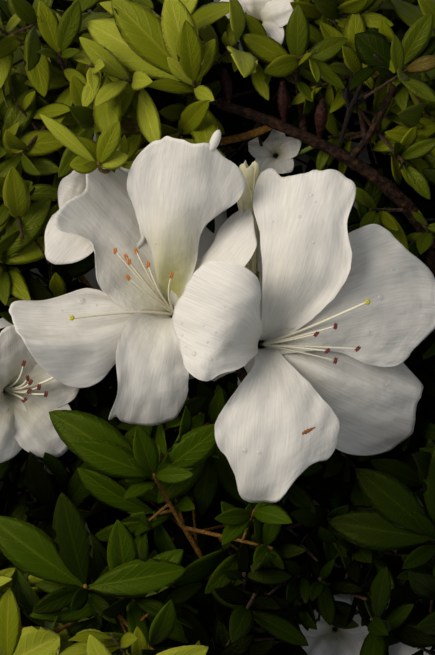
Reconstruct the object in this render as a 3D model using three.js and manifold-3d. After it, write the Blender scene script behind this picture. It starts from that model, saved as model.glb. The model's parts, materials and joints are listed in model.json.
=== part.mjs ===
// A flowering azalea branch, as cut, lying on its side.
// Millimetres, +Z up. Seen from straight above, +Y is the way the branch grew and +X is its right.
// A woody stem runs up the right side. Boughs leave it for the blooms and for the leafy shoots.
import * as THREE from 'three';
import { mergeVertices } from 'three/addons/utils/BufferGeometryUtils.js';
import Module from 'manifold-3d';

const wasm = await Module();
wasm.setup();

// Driving sizes
const clearGap = 0.3; // free space kept between neighbouring solids
const smallest = 0.1; // edges shorter than this are smoothed away after a cut or a join
const floorClear = 0.2; // the lowest that a leaf may hang above the surface that the branch lies on
const limbSides = 6;
const limbSteps = { main_stem: 10, other: 6 }; // rings along a limb
const up = new THREE.Vector3(0, 0, 1);
const radians = THREE.MathUtils.degToRad;
const smoothStep = THREE.MathUtils.smoothstep;

// Twigs and the side twigs that branch from them
const goldenTurn = radians(137.5);
const twigSides = 3;
const twigRadius = 0.95;
const twigTaper = 0.2; // share of its radius that a twig loses by its tip
const stemBend = 0.45; // how far before its tip a stem bends, as a share of its span
const leanUp = 0.6; // how strongly a shoot's end and its leaves turn to the light
const sideTwig = {
  thinner: 0.8, starts: [0.3, 0.8], reach: [0.7, 1.2], rise: [0.1, 0.6], wander: 0.6,
  sag: 2, leaves: 7, leafSize: 0.92,
};
const stemLeaves = { plain: { count: 8, size: 1 }, besideMarked: { count: 5, size: 0.6 } };
const steps = { stem: 3, side: 2 }; // rings along a stem and along a side twig
const lowestBend = 4;
const lowestShoot = 6;

// Leaves: shares of a leaf's own length, and degrees from the shoot's own line
const leaf = {
  thickness: 0.8, width: 0.46, widest: 0.55, bow: 0.04, droop: [0.04, 0.16], markedDroop: 0.08, sunk: 0.6,
  spread: [80, 32], wander: 16, shorten: 0.35, vary: [0.88, 1.12], swing: 26, swungLength: 0.85,
};
const whorlDepth = 8; // length of shoot that a whorl takes up
const rootDepth = 1.6; // how far below its shoot's end a leaf is rooted
const freeFrom = 0.3; // leaves of one mass may touch only over this first share of their way to the middle
const fullness = 1.25; // leaves a little over life size, as each stands for a denser whorl

// Petals
const petal = {
  thickness: 0.7, columns: 4, rows: 4, foot: 2, rim: 0.97,
  widens: [-0.1, 0.62], rolls: [0.2, 0.6], dish: 0.06, ridge: { width: 0.3, height: 0.4 },
};
const funnel = { rise: 11, flare: 4, mouth: 1.2, wrap: 0.2, opens: [0.1, 0.5] };
const smallBloom = { sides: 20, rings: [0.3, 0.65, 1], notch: 0.36, notchFrom: 0.4, cup: 0.6, flare: 1.3 };
const stalk = { thin: 1.1, thick: 3, thickens: 0.3, bend: 0.6, sunk: 1.5, steps: 5 };

const colours = {
  wood: 0x3a281c,
  leaf: 0x4a6414,
  youngLeaf: 0x7d9a2a,
  petal: 0xe6e1da,
  cream: 0xe4dfb4,
  bud: 0x6a3226,
};
const roughness = { wood: 0.8, petal: 0.5, bud: 0.5, leaf: 0.45 };

// Limbs: each runs from its parent, a share `at` along it, by two bends to its tip, with its end radii
const limbs = {
  main_stem: {
    from: [52, -118, 3.6], bends: [[46, -60, 12], [60, -28, 8]],
    tip: [68, 26, 17], radii: [3.3, 2.2],
  },
  bough_top: {
    parent: 'main_stem', at: 0.98, bends: [[58, 46, 26], [30, 58, 36]],
    tip: [0, 68, 33], radii: [1.9, 1.1],
  },
  bough_top_left: {
    parent: 'bough_top', at: 0.8, bends: [[2, 54, 27], [-20, 54, 20]],
    tip: [-42, 65, 27], radii: [1.2, 0.8],
  },
  bough_top_up: {
    parent: 'bough_top', at: 0.7, bends: [[27, 70, 22], [20, 86, 20]],
    tip: [22, 98, 20], radii: [1.2, 0.8],
  },
  bough_top_right: {
    parent: 'bough_top', at: 0.52, bends: [[46, 57, 33], [50, 64, 38]],
    tip: [53, 73, 42], radii: [1.2, 0.9],
  },
  bough_right: {
    parent: 'main_stem', at: 0.86, bends: [[74, 20, 12], [82, 34, 16]],
    tip: [80, 58, 22], radii: [1.5, 0.9],
  },
  bough_blooms: {
    parent: 'main_stem', at: 0.34, bends: [[36, -46, 18], [14, -34, 24]],
    tip: [3, -4, 31], radii: [1.8, 1.4],
  },
  bough_left: {
    parent: 'bough_blooms', at: 0.62, bends: [[4, -28, 18], [-24, -28, 12]],
    tip: [-52, -26, 14], radii: [1.2, 0.8],
  },
  bough_left_up: {
    parent: 'bough_left', at: 0.4, bends: [[-24, -6, 12], [-38, 10, 10]],
    tip: [-60, 36, 16], radii: [1.1, 0.8],
  },
  bough_lower: {
    parent: 'main_stem', at: 0.25, bends: [[32, -78, 22], [12, -80, 27]],
    tip: [-4, -71, 31], radii: [1.6, 1.0],
  },
  bough_bottom: {
    parent: 'main_stem', at: 0.08, bends: [[24, -112, 10], [-8, -110, 16]],
    tip: [-36, -106, 24], radii: [1.4, 0.9],
  },
};

// Masses of leaves: each grows from a limb, a share `at` along it, to its tip, heading as told.
// `leaf` is the length of its outer leaves, `sides` the number of side twigs and `seed` picks its own turns.
// `marked` leaves stand at a bearing in plan, with their own length and rise above the plan, in degrees.
const masses = {
  leaves_lower_left: {
    limb: 'bough_lower', at: 1, tip: [-19, -43, 52], heading: [-0.2, 0.5, 0.8], leaf: 27, sides: 2, seed: 11,
    marked: [[149, 37, 2], [158, 27, 12], [107, 20, 40], [64, 34, 20], [5, 15, 40]],
  },
  leaves_lower_corner: {
    limb: 'bough_lower', at: 0.86, tip: [-39, -76, 54],
    heading: [-0.1, 0.4, 0.9], leaf: 28, sides: 3, seed: 12,
    marked: [[144, 36, 4], [103, 31, 20], [11, 31, 10], [203, 18, 20]],
  },
  leaves_bottom: {
    limb: 'bough_bottom', at: 0.97, tip: [-28, -104, 72],
    heading: [0, 0.6, 0.8], leaf: 24, sides: 3, young: true, seed: 13,
    marked: [[92, 20, 40], [150, 30, 20]],
  },
  leaves_bottom_corner: {
    limb: 'bough_bottom', at: 1, tip: [-62, -98, 52], heading: [-0.3, 0.5, 0.8], leaf: 28, sides: 3, seed: 14,
    marked: [[70, 30, 20]],
  },
  leaves_bottom_middle: {
    limb: 'bough_bottom', at: 0.55, tip: [0, -100, 50],
    heading: [0.1, 0.3, 0.9], leaf: 24, sides: 3, seed: 15,
    marked: [],
  },
  leaves_low_middle: {
    limb: 'bough_lower', at: 0.6, tip: [8, -74, 40], heading: [0, 0.4, 0.9], leaf: 22, sides: 3, seed: 16,
    marked: [[90, 21, 12], [0, 15, 10]],
  },
  leaves_low_right: {
    limb: 'main_stem', at: 0.22, tip: [31, -76, 34], heading: [-0.2, 0.3, 0.9], leaf: 21, sides: 3, seed: 17,
    marked: [[80, 18, 10], [255, 18, 10]],
  },
  leaves_right_lower: {
    limb: 'main_stem', at: 0.42, tip: [66, -62, 46], heading: [0, 0.5, 0.8], leaf: 33, sides: 3, seed: 18,
    marked: [[140, 33, 6], [88, 32, 10], [172, 34, 0]],
  },
  leaves_right_corner: {
    limb: 'main_stem', at: 0.12, tip: [76, -96, 32], heading: [0.5, 0, 0.8], leaf: 28, sides: 2, seed: 19,
    marked: [],
  },
  leaves_right_edge: {
    limb: 'main_stem', at: 0.62, tip: [82, -20, 36], heading: [0.5, 0.2, 0.8], leaf: 28, sides: 2, seed: 20,
    marked: [],
  },
  leaves_right_upper: {
    limb: 'bough_right', at: 0.5, tip: [62, 31, 44], heading: [-0.3, 0.4, 0.8], leaf: 20, sides: 2, seed: 21,
    marked: [[160, 22, 10], [20, 16, 20]],
  },
  leaves_right_outer: {
    limb: 'bough_right', at: 0.7, tip: [92, 40, 34], heading: [0.6, 0.3, 0.7], leaf: 26, sides: 2, seed: 22,
    marked: [],
  },
  leaves_top_right: {
    limb: 'bough_right', at: 1, tip: [84, 84, 34], heading: [0.3, 0.6, 0.7], leaf: 26, sides: 3, seed: 23,
    marked: [],
  },
  leaves_twig_right: {
    limb: 'bough_top_right', at: 1, tip: [54, 78, 46], heading: [0, 0.7, 0.7], leaf: 23, sides: 1, seed: 24,
    marked: [[102, 23, 10], [60, 20, 20], [10, 20, 20]],
  },
  leaves_twig_middle: {
    limb: 'bough_top_right', at: 0.3, tip: [42, 80, 36], heading: [0, 0.7, 0.7], leaf: 22, sides: 1, seed: 25,
    marked: [[92, 18, 20], [70, 20, 20], [130, 18, 10]],
  },
  leaves_top_middle: {
    limb: 'bough_top_up', at: 0.3, tip: [24, 79, 40], heading: [0, 0.6, 0.8], leaf: 21, sides: 2, seed: 26,
    marked: [[90, 20, 25], [150, 20, 10], [30, 18, 10]],
  },
  leaves_top: {
    limb: 'bough_top_up', at: 1, tip: [24, 110, 34], heading: [0, 0.7, 0.7], leaf: 25, sides: 3, seed: 27,
    marked: [],
  },
  leaves_top_bright: {
    limb: 'bough_top', at: 1, tip: [-7, 73, 50],
    heading: [-0.1, 0.5, 0.85], leaf: 30, sides: 2, young: true, seed: 28,
    marked: [[134, 36, 4], [106, 29, 20], [36, 19, 30], [150, 38, 0], [98, 22, 40]],
  },
  leaves_top_left: {
    limb: 'bough_top_left', at: 1, tip: [-47, 82, 46],
    heading: [-0.1, 0.6, 0.8], leaf: 24, sides: 3, seed: 29,
    marked: [[110, 18, 20], [70, 18, 20]],
  },
  leaves_top_back: {
    limb: 'bough_top_left', at: 0.55, tip: [-22, 96, 26],
    heading: [0, 0.8, 0.5], leaf: 28, sides: 3, seed: 30,
    marked: [],
  },
  leaves_upper_left: {
    limb: 'bough_left_up', at: 1, tip: [-66, 54, 38],
    heading: [-0.3, 0.4, 0.85], leaf: 26, sides: 3, seed: 31,
    marked: [[60, 22, 10], [120, 24, 20]],
  },
  leaves_young_shoot: {
    limb: 'bough_top_left', at: 0.7, tip: [-33, 51, 64],
    heading: [0, 0.3, 0.95], leaf: 17, sides: 0, young: true, seed: 32,
    marked: [[92, 15, 40], [140, 24, 10], [176, 13, -10], [20, 12, 10]],
  },
  leaves_left_edge: {
    limb: 'bough_left_up', at: 0.6, tip: [-68, 20, 34],
    heading: [-0.4, 0.2, 0.85], leaf: 24, sides: 3, seed: 33,
    marked: [[20, 22, 5]],
  },
  leaves_left_low: {
    limb: 'bough_left', at: 0.86, tip: [-72, -52, 34],
    heading: [-0.3, -0.5, 0.8], leaf: 26, sides: 3, seed: 34,
    marked: [[62, 22, 20]],
  },
  leaves_left_corner: {
    limb: 'bough_left', at: 0.5, tip: [-50, -58, 34],
    heading: [-0.3, -0.2, 0.9], leaf: 26, sides: 2, seed: 35,
    marked: [],
  },
  leaves_under_blooms: {
    limb: 'bough_blooms', at: 0.7, tip: [-2, -34, 38],
    heading: [-0.2, -0.3, 0.9], leaf: 24, sides: 2, seed: 36,
    marked: [[262, 24, 5], [230, 26, 5], [300, 24, 5]],
  },
  leaves_middle: {
    limb: 'bough_blooms', at: 0.4, tip: [34, -58, 34],
    heading: [0.1, -0.3, 0.9], leaf: 24, sides: 2, seed: 37,
    marked: [],
  },
};

// Blooms: each has a foot on its limb, a throat where the petals part, the way it faces and its petals.
// A petal runs from the throat by a knee to its tip. `half` is half its width, `roll` turns it about its own
// length in degrees, `hollow` is how deeply it is dished, `fold` how sharply it creases along its middle and
// `blunt` the share of its length that its rounded end takes up.
const blooms = {
  bloom_right: {
    limb: 'bough_blooms', foot: [4.8, -4.6, 31.4], throat: [13, -5, 50], facing: [0.3, 0, 0.95],
    petals: [
      { tip: [28, 47, 64], knee: [26, 24, 76], half: 17.5, roll: 6, hollow: -0.1, fold: 0.35, blunt: 0.3 },
      { tip: [65, 10, 62], knee: [44, 12, 76], half: 21, roll: 6, hollow: 0.1, fold: 0.1, blunt: 0.42 },
      { tip: [60, -23, 54], knee: [42, -19, 70], half: 15, roll: 6, hollow: 0, fold: 0.1, blunt: 0.38 },
      { tip: [13, -52, 52], knee: [19, -30, 70], half: 18, roll: 6, hollow: -0.1, fold: 0.15, blunt: 0.42 },
      { tip: [-12, 8, 80], knee: [0, 2, 90], half: 20, roll: 0, hollow: 0.35, fold: 0, blunt: 0.42 },
    ],
  },
  bloom_left: {
    limb: 'bough_blooms', foot: [0.8, -2.6, 31.4], throat: [-13, 4, 42], facing: [-0.3, 0.2, 0.93],
    petals: [
      { tip: [-8, 57, 58], knee: [-9, 34, 66], half: 17.5, roll: -4, hollow: 0.2, fold: 0.15, blunt: 0.34 },
      { tip: [-45, 43, 48], knee: [-30, 28, 58], half: 15, roll: -8, hollow: 0.2, fold: 0.1, blunt: 0.34 },
      { tip: [-60, 2, 52], knee: [-40, -6, 60], half: 15.5, roll: 20, hollow: 0.1, fold: 0, blunt: 0.4 },
      { tip: [-22, -29, 50], knee: [-20, -14, 60], half: 11.5, roll: 0, hollow: 0.1, fold: 0.1, blunt: 0.26 },
      { tip: [11, 34, 48], knee: [2, 20, 57], half: 12, roll: 0, hollow: 0.2, fold: 0.1, blunt: 0.34 },
    ],
  },
};

// Smaller blooms behind: `reach` is the length of a petal, `open` how far the petals spread from the axis
const smallBlooms = {
  bloom_half_open: {
    limb: 'bough_blooms', at: 0.97, throat: [7, 18, 29], facing: [0.1, 0.97, 0.2], reach: 34, open: 9,
    colour: colours.cream,
  },
  bloom_upper_left: {
    limb: 'bough_left_up', at: 0.72, throat: [-39, 38, 24],
    facing: [-0.1, 0.1, 0.98], reach: 24, open: 62,
  },
  bloom_left_edge: {
    limb: 'bough_left', at: 0.96, throat: [-65, -19, 30],
    facing: [0.25, 0.1, 0.95], reach: 27, open: 62,
  },
  bloom_top: {
    limb: 'bough_top_up', at: 0.75, throat: [13, 93, 27],
    facing: [-0.2, 0.1, 0.97], reach: 15, open: 62,
  },
  bloom_behind: {
    limb: 'bough_top', at: 0.64, throat: [21, 48, 12],
    facing: [-0.1, 0.2, 0.97], reach: 18, open: 62,
  },
  bloom_low_right: {
    limb: 'bough_bottom', at: 0.22, throat: [37, -95, 5],
    facing: [-0.1, 0.1, 0.98], reach: 16, open: 68,
  },
};

// Buds on the bare twigs: seated on a limb, with a tip and a greatest radius
const budStalk = 0.7;
const budSwell = { from: 0.2, to: 1.06, plump: 0.8, steps: 7 };
const buds = {
  bud_left: { limb: 'bough_top', at: 0.96, tip: [2, 78, 36], radius: 1.9 },
  bud_middle: { limb: 'bough_top', at: 0.77, tip: [19.5, 74, 39], radius: 1.9 },
  bud_right: { limb: 'bough_top', at: 0.64, tip: [31.5, 69, 40], radius: 2.1 },
  seed_capsule: { limb: 'bough_top', at: 0.57, tip: [40.5, 71, 42], radius: 2.3 },
};

function vector(values) {
  return new THREE.Vector3(...values);
}

// Repeatable random numbers from 0 to 1
function seeded(seed) {
  let state = Math.imul(seed, 40503) >>> 0;
  return () => {
    state = (Math.imul(state, 1664525) + 1013904223) >>> 0;
    return state / 4294967296;
  };
}

// Solids

function toSolid(geometry) {
  geometry.deleteAttribute('normal');
  geometry.deleteAttribute('uv');
  const merged = mergeVertices(geometry, 1e-4);
  const corners = merged.index.array;
  const kept = [];
  for (let i = 0; i < corners.length; i += 3) {
    const [a, b, c] = corners.slice(i, i + 3);
    if (a !== b && b !== c && a !== c) kept.push(a, b, c);
  }
  return new wasm.Manifold(new wasm.Mesh({
    numProp: 3,
    vertProperties: merged.attributes.position.array,
    triVerts: new Uint32Array(kept),
  }));
}

function toMesh(solid, name, colour, finish) {
  const { vertProperties, triVerts } = solid.getMesh();
  const geometry = new THREE.BufferGeometry();
  geometry.setAttribute('position', new THREE.BufferAttribute(vertProperties, 3));
  geometry.setIndex(new THREE.BufferAttribute(triVerts, 1));
  geometry.computeVertexNormals();
  const material = new THREE.MeshStandardMaterial({ color: colour, roughness: finish, metalness: 0 });
  const mesh = new THREE.Mesh(geometry, material);
  mesh.name = name;
  return mesh;
}

// The outer shell alone, so that a hollow sealed by joining is filled and loose scraps are dropped
function largestPiece(solid) {
  const pieces = solid.simplify(smallest).decompose();
  return pieces.reduce((best, piece) => (piece.volume() > best.volume() ? piece : best));
}

function moveVertices(geometry, place) {
  const position = geometry.attributes.position;
  const point = new THREE.Vector3();
  for (let i = 0; i < position.count; i += 1) {
    point.fromBufferAttribute(position, i);
    const moved = place(point);
    position.setXYZ(i, moved.x, moved.y, moved.z);
  }
  return geometry;
}

// A steady side direction for a curve: square to it and to the axis that its chord leans on least
function sideReference(start, end) {
  const chord = end.clone().sub(start);
  const lean = [Math.abs(chord.x), Math.abs(chord.y), Math.abs(chord.z)];
  const least = lean.indexOf(Math.min(...lean));
  return new THREE.Vector3().setComponent(least, 1);
}

// A round tapering solid along a curve, from a turned profile bent to the curve
function tube(curve, radiusAt, sides, steps) {
  const profile = [new THREE.Vector2(0, 0)];
  for (let i = 0; i <= steps; i += 1) {
    profile.push(new THREE.Vector2(radiusAt(i / steps), i / steps));
  }
  profile.push(new THREE.Vector2(0, 1));
  const reference = sideReference(curve.getPoint(0), curve.getPoint(1));
  const geometry = new THREE.LatheGeometry(profile, sides);
  return toSolid(moveVertices(geometry, (point) => {
    const tangent = curve.getTangent(point.y);
    const side = reference.clone().cross(tangent).normalize();
    const over = side.clone().cross(tangent);
    return curve.getPoint(point.y).addScaledVector(side, point.x).addScaledVector(over, point.z);
  }));
}

// Limbs

function limbCurve(name) {
  const limb = limbs[name];
  const start = limb.parent ? limbCurve(limb.parent).getPoint(limb.at) : vector(limb.from);
  return new THREE.CubicBezierCurve3(start, vector(limb.bends[0]), vector(limb.bends[1]), vector(limb.tip));
}

function limbSolid(name, extra = 0) {
  const [thick, thin] = limbs[name].radii;
  const steps = limbSteps[name] ?? limbSteps.other;
  return tube(limbCurve(name), (t) => thick + (thin - thick) * t + extra, limbSides, steps);
}

// Leaves: each a thin bowed blade with eight faces

function leafSolid(blade, margin = 0, from = 0) {
  const root = blade.root.clone().lerp(blade.middle, from);
  return toSolid(moveVertices(new THREE.OctahedronGeometry(1, 0), (point) => {
    if (point.x < -0.5) return root.clone();
    if (point.x > 0.5) return blade.tip.clone();
    return blade.middle.clone()
      .addScaledVector(blade.across, point.y * (blade.half + margin))
      .addScaledVector(blade.face, point.z * (leaf.thickness / 2 + margin));
  }));
}

function makeLeaf(base, along, faceHint, length, droop) {
  const root = base.clone().addScaledVector(along, -leaf.sunk);
  const face = faceHint.clone().addScaledVector(along, -faceHint.dot(along)).normalize();
  const across = face.clone().cross(along).normalize();
  const half = (length * leaf.width) / 2;
  const middle = root.clone().addScaledVector(along, length * leaf.widest);
  middle.addScaledVector(face, length * leaf.bow);
  const tip = root.clone().addScaledVector(along, length).addScaledVector(face, -length * droop);
  middle.z = Math.max(middle.z, floorClear + half * Math.abs(across.z) + leaf.thickness / 2);
  tip.z = Math.max(tip.z, floorClear);
  return { root, middle, tip, across, face, half };
}

// The same leaf swung sideways about its root and a little shorter, for when its first place is taken
function swungLeaf(blade) {
  const along = blade.tip.clone().sub(blade.root);
  const length = along.length() * leaf.swungLength;
  along.normalize().applyAxisAngle(blade.face, radians(leaf.swing));
  return makeLeaf(blade.root, along, blade.face, length, leaf.droop[0]);
}

function between([low, high], share) {
  return low + (high - low) * share;
}

// Leaves round a shoot's end, each a golden turn from the last: the outer long and spread, the inner short
function whorl(tip, axis, leafLength, count, random) {
  const reference = Math.abs(axis.z) < 0.9 ? up : new THREE.Vector3(0, 1, 0);
  const side = axis.clone().cross(reference).normalize();
  const other = axis.clone().cross(side);
  const faceHint = axis.clone().addScaledVector(up, leanUp).normalize();
  const start = random() * Math.PI * 2;
  const leaves = [];
  for (let i = 0; i < count; i += 1) {
    const inner = i / (count - 1);
    const turn = start + i * goldenTurn;
    const spread = radians(between(leaf.spread, inner) + (random() - 0.5) * leaf.wander);
    const length = leafLength * fullness * (1 - leaf.shorten * inner) * between(leaf.vary, random());
    const droop = between(leaf.droop, random());
    const along = axis.clone().multiplyScalar(Math.cos(spread))
      .addScaledVector(side, Math.sin(spread) * Math.cos(turn))
      .addScaledVector(other, Math.sin(spread) * Math.sin(turn));
    const root = tip.clone().addScaledVector(axis, -rootDepth - whorlDepth * (1 - inner));
    leaves.push(makeLeaf(root, along, faceHint, length, droop));
  }
  return leaves;
}

function markedLeaves(tip, axis, marked) {
  const root = tip.clone().addScaledVector(axis, -rootDepth);
  return marked.map(([bearing, length, rise]) => {
    const along = new THREE.Vector3().setFromSphericalCoords(1, radians(90 - rise), radians(90 + bearing));
    const level = new THREE.Vector3(along.x, -along.z, along.y);
    return makeLeaf(root, level, up, length, leaf.markedDroop);
  });
}

// Masses: one stem, side twigs by a seeded rule and a whorl at each end, clear of all that stands already

function massShoots(row) {
  const random = seeded(row.seed);
  const foot = limbCurve(row.limb).getPoint(row.at);
  const tip = vector(row.tip);
  const heading = vector(row.heading).normalize();
  const bend = tip.clone().addScaledVector(heading, -foot.distanceTo(tip) * stemBend);
  bend.z = Math.max(bend.z, lowestBend);
  const stem = new THREE.QuadraticBezierCurve3(foot, bend, tip);
  const leaves = markedLeaves(tip, heading, row.marked);
  const { count, size } = row.marked.length > 0 ? stemLeaves.besideMarked : stemLeaves.plain;
  leaves.push(...whorl(tip, heading, row.leaf * size, count, random));
  const shoots = [{ curve: stem, radius: twigRadius, leaves, steps: steps.stem }];
  const firstTurn = random() * Math.PI * 2;
  for (let i = 0; i < row.sides; i += 1) {
    const share = between(sideTwig.starts, i / Math.max(row.sides - 1, 1));
    const start = stem.getPoint(share);
    const turn = firstTurn + i * goldenTurn + (random() - 0.5) * sideTwig.wander;
    const rise = between(sideTwig.rise, random());
    const reach = row.leaf * between(sideTwig.reach, random());
    const way = new THREE.Vector3(Math.cos(turn), Math.sin(turn), rise).normalize();
    const end = start.clone().addScaledVector(way, reach);
    end.z = Math.max(end.z, lowestShoot);
    const knee = start.clone().lerp(end, 0.5).addScaledVector(up, -sideTwig.sag);
    const curve = new THREE.QuadraticBezierCurve3(start, knee, end);
    const axis = curve.getTangent(1).addScaledVector(up, leanUp).normalize();
    const own = whorl(end, axis, row.leaf * sideTwig.leafSize, sideTwig.leaves, random);
    shoots.push({ curve, radius: twigRadius * sideTwig.thinner, leaves: own, steps: steps.side });
  }
  return shoots;
}

function boxesTouch(a, b) {
  return [0, 1, 2].every((axis) => a.min[axis] <= b.max[axis] && b.min[axis] <= a.max[axis]);
}

// What stands already, by owner, so that a new twig or leaf can be tested against it
class Surroundings {
  constructor() {
    this.taken = [];
  }

  add(owner, solid) {
    this.taken.push({ owner, solid, box: solid.boundingBox() });
  }

  touches(solid, ignoredOwners = []) {
    const box = solid.boundingBox();
    return this.taken.some((other) => !ignoredOwners.includes(other.owner)
      && boxesTouch(box, other.box)
      && !solid.intersect(other.solid).isEmpty());
  }
}

// The stem and side twigs of a mass: a side twig that would touch what stands already is left out
function standShoots(name, around) {
  const row = masses[name];
  return massShoots(row).filter((shoot, i) => {
    const radiusAt = (t) => shoot.radius * (1 - twigTaper * t);
    const wide = tube(shoot.curve, (t) => radiusAt(t) + clearGap, twigSides, shoot.steps);
    const blocked = around.touches(wide, [name, row.limb]);
    if (blocked && i > 0) return false;
    around.add(name, wide);
    shoot.solid = tube(shoot.curve, radiusAt, twigSides, shoot.steps);
    return true;
  });
}

function massSolid(name, shoots, around) {
  const leafOwner = `${name} leaf`;
  const isFree = (blade) => !around.touches(leafSolid(blade, clearGap), [name, leafOwner])
    && !around.touches(leafSolid(blade, clearGap, freeFrom));
  const pieces = [];
  for (const shoot of shoots) {
    pieces.push(shoot.solid);
    for (const drawn of shoot.leaves) {
      const blade = [drawn, swungLeaf(drawn)].find(isFree);
      if (!blade) continue;
      around.add(leafOwner, leafSolid(blade, clearGap, freeFrom));
      pieces.push(leafSolid(blade));
    }
  }
  const joined = wasm.Manifold.union(pieces);
  return largestPiece(joined.subtract(limbSolid(masses[name].limb, clearGap)));
}

// Petals

// A point on a petal's midline, with the way across the petal there and the way its inner side faces
function petalFrame(bloom, shape, t) {
  const throat = vector(bloom.throat);
  const facing = vector(bloom.facing).normalize();
  const tip = vector(shape.tip);
  const out = tip.clone().sub(throat);
  out.addScaledVector(facing, -out.dot(facing)).normalize();
  const start = throat.clone().addScaledVector(out, funnel.mouth);
  const rim = throat.clone().addScaledVector(facing, funnel.rise).addScaledVector(out, funnel.flare);
  const spine = new THREE.CubicBezierCurve3(start, rim, vector(shape.knee), tip);
  const tangent = spine.getTangent(t);
  const roll = radians(shape.roll * smoothStep(t, ...petal.rolls));
  const side = facing.clone().cross(out).normalize();
  const normal = tangent.clone().cross(side).normalize();
  side.applyAxisAngle(tangent, roll);
  normal.applyAxisAngle(tangent, roll);
  return { point: spine.getPoint(t), side, normal };
}

// A point on a petal: t runs from throat to tip and across from -1 to 1, in lines that fan out like its veins
function petalPoint(bloom, shape, t, across, lift) {
  const along = t * (1 - shape.blunt * (1 - Math.sqrt(1 - across * across)));
  const { point, side, normal } = petalFrame(bloom, shape, along);
  const half = between([petal.foot, shape.half], smoothStep(along, ...petal.widens));
  const curl = funnel.wrap * (1 - smoothStep(along, ...funnel.opens)) + shape.hollow * petal.dish + 1e-4;
  const sideways = Math.sin(half * across * curl) / curl;
  const dish = (1 - Math.cos(half * across * curl)) / curl;
  const ridge = Math.exp(-((across / petal.ridge.width) ** 2)) * smoothStep(along, ...petal.rolls);
  const crease = shape.fold * half * petal.ridge.height * ridge;
  return point.addScaledVector(side, sideways).addScaledVector(normal, dish + crease + lift);
}

// A flat box whose far side is split along the same diagonals as its near side, so that the two sides of
// a bent sheet stay apart
function sheetBox() {
  const sheet = new THREE.BoxGeometry(1, 2 * petal.rim, petal.thickness, petal.rows, petal.columns, 1);
  const corners = sheet.index.array;
  const far = sheet.groups[5];
  for (let i = far.start; i < far.start + far.count; i += 6) {
    const [a, b, d, , c] = corners.slice(i, i + 6);
    corners.set([a, b, c, a, c, d], i);
  }
  return sheet;
}

function petalSolid(bloom, shape) {
  const sheet = sheetBox();
  return toSolid(moveVertices(sheet, (point) => petalPoint(bloom, shape, point.x + 0.5, point.y, point.z)));
}

function stalkSolid(foot, throat, facing) {
  const bend = throat.clone().addScaledVector(facing, -foot.distanceTo(throat) * stalk.bend);
  const deep = throat.clone().addScaledVector(facing, stalk.sunk);
  const curve = new THREE.QuadraticBezierCurve3(foot, bend, deep);
  const radiusAt = (t) => between([stalk.thin, stalk.thick], smoothStep(t, stalk.thickens, 1));
  return tube(curve, radiusAt, limbSides, stalk.steps);
}

function bloomSolid(bloom) {
  const pieces = bloom.petals.map((shape) => petalSolid(bloom, shape));
  pieces.push(stalkSolid(vector(bloom.foot), vector(bloom.throat), vector(bloom.facing).normalize()));
  return largestPiece(wasm.Manifold.union(pieces).subtract(limbSolid(bloom.limb, clearGap)));
}

// A smaller bloom: a thin turned disc bent into a funnel, its brim cut into five lobes
function smallBloomSolid(row) {
  const facing = vector(row.facing).normalize();
  const throat = vector(row.throat);
  const reference = Math.abs(facing.z) < 0.9 ? up : new THREE.Vector3(0, 1, 0);
  const side = facing.clone().cross(reference).normalize();
  const other = side.clone().cross(facing);
  const width = row.reach * Math.sin(radians(row.open));
  const depth = row.reach * Math.cos(radians(row.open));
  const outwards = [0, ...smallBloom.rings];
  const profile = [
    ...outwards.map((x) => new THREE.Vector2(x, 0)),
    ...outwards.reverse().map((x) => new THREE.Vector2(x, 1)),
  ];
  const disc = new THREE.LatheGeometry(profile, smallBloom.sides);
  const sheet = moveVertices(disc, (point) => {
    const turn = Math.atan2(point.x, point.z);
    const share = Math.hypot(point.x, point.z);
    const notch = Math.abs(Math.sin(turn * 2.5)) ** 3 * smoothStep(share, smallBloom.notchFrom, 1);
    const reach = share * (1 - smallBloom.notch * notch);
    const out = width * reach ** smallBloom.flare;
    return throat.clone()
      .addScaledVector(facing, depth * reach ** smallBloom.cup + point.y * petal.thickness)
      .addScaledVector(side, Math.sin(turn) * out)
      .addScaledVector(other, Math.cos(turn) * out);
  });
  const foot = limbCurve(row.limb).getPoint(row.at);
  const whole = toSolid(sheet).add(stalkSolid(foot, throat, facing));
  return largestPiece(whole.subtract(limbSolid(row.limb, clearGap)));
}

// Buds: a short stalk and a pointed oval on one line

function budSolid(row) {
  const foot = limbCurve(row.limb).getPoint(row.at);
  const line = new THREE.LineCurve3(foot, vector(row.tip));
  const swell = (t) => Math.sin(Math.PI * smoothStep(t, budSwell.from, budSwell.to)) ** budSwell.plump;
  const solid = tube(line, (t) => between([budStalk, row.radius], swell(t)), limbSides, budSwell.steps);
  return largestPiece(solid.subtract(limbSolid(row.limb, clearGap)));
}

// The whole branch

const branch = new THREE.Group();
const around = new Surroundings();

function addPart(name, solid, colour, finish) {
  branch.add(toMesh(solid, name, colour, finish));
  around.add(name, solid);
}

for (const [name, limb] of Object.entries(limbs)) {
  const whole = limbSolid(name);
  const solid = limb.parent ? whole.subtract(limbSolid(limb.parent, clearGap)) : whole;
  addPart(name, largestPiece(solid), colours.wood, roughness.wood);
}
for (const [name, bloom] of Object.entries(blooms)) {
  addPart(name, bloomSolid(bloom), colours.petal, roughness.petal);
}
for (const [name, row] of Object.entries(smallBlooms)) {
  addPart(name, smallBloomSolid(row), row.colour ?? colours.petal, roughness.petal);
}
for (const [name, row] of Object.entries(buds)) {
  addPart(name, budSolid(row), colours.bud, roughness.bud);
}
const standing = Object.keys(masses).map((name) => [name, standShoots(name, around)]);
for (const [name, shoots] of standing) {
  const solid = massSolid(name, shoots, around);
  const colour = masses[name].young ? colours.youngLeaf : colours.leaf;
  branch.add(toMesh(solid, name, colour, roughness.leaf));
}

// The origin lies under the middle of the whole branch, on the surface that it rests on
const bounds = new THREE.Box3().setFromObject(branch);
const centre = bounds.getCenter(new THREE.Vector3());
branch.position.set(-centre.x, -centre.y, -bounds.min.z);

export default branch;
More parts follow.
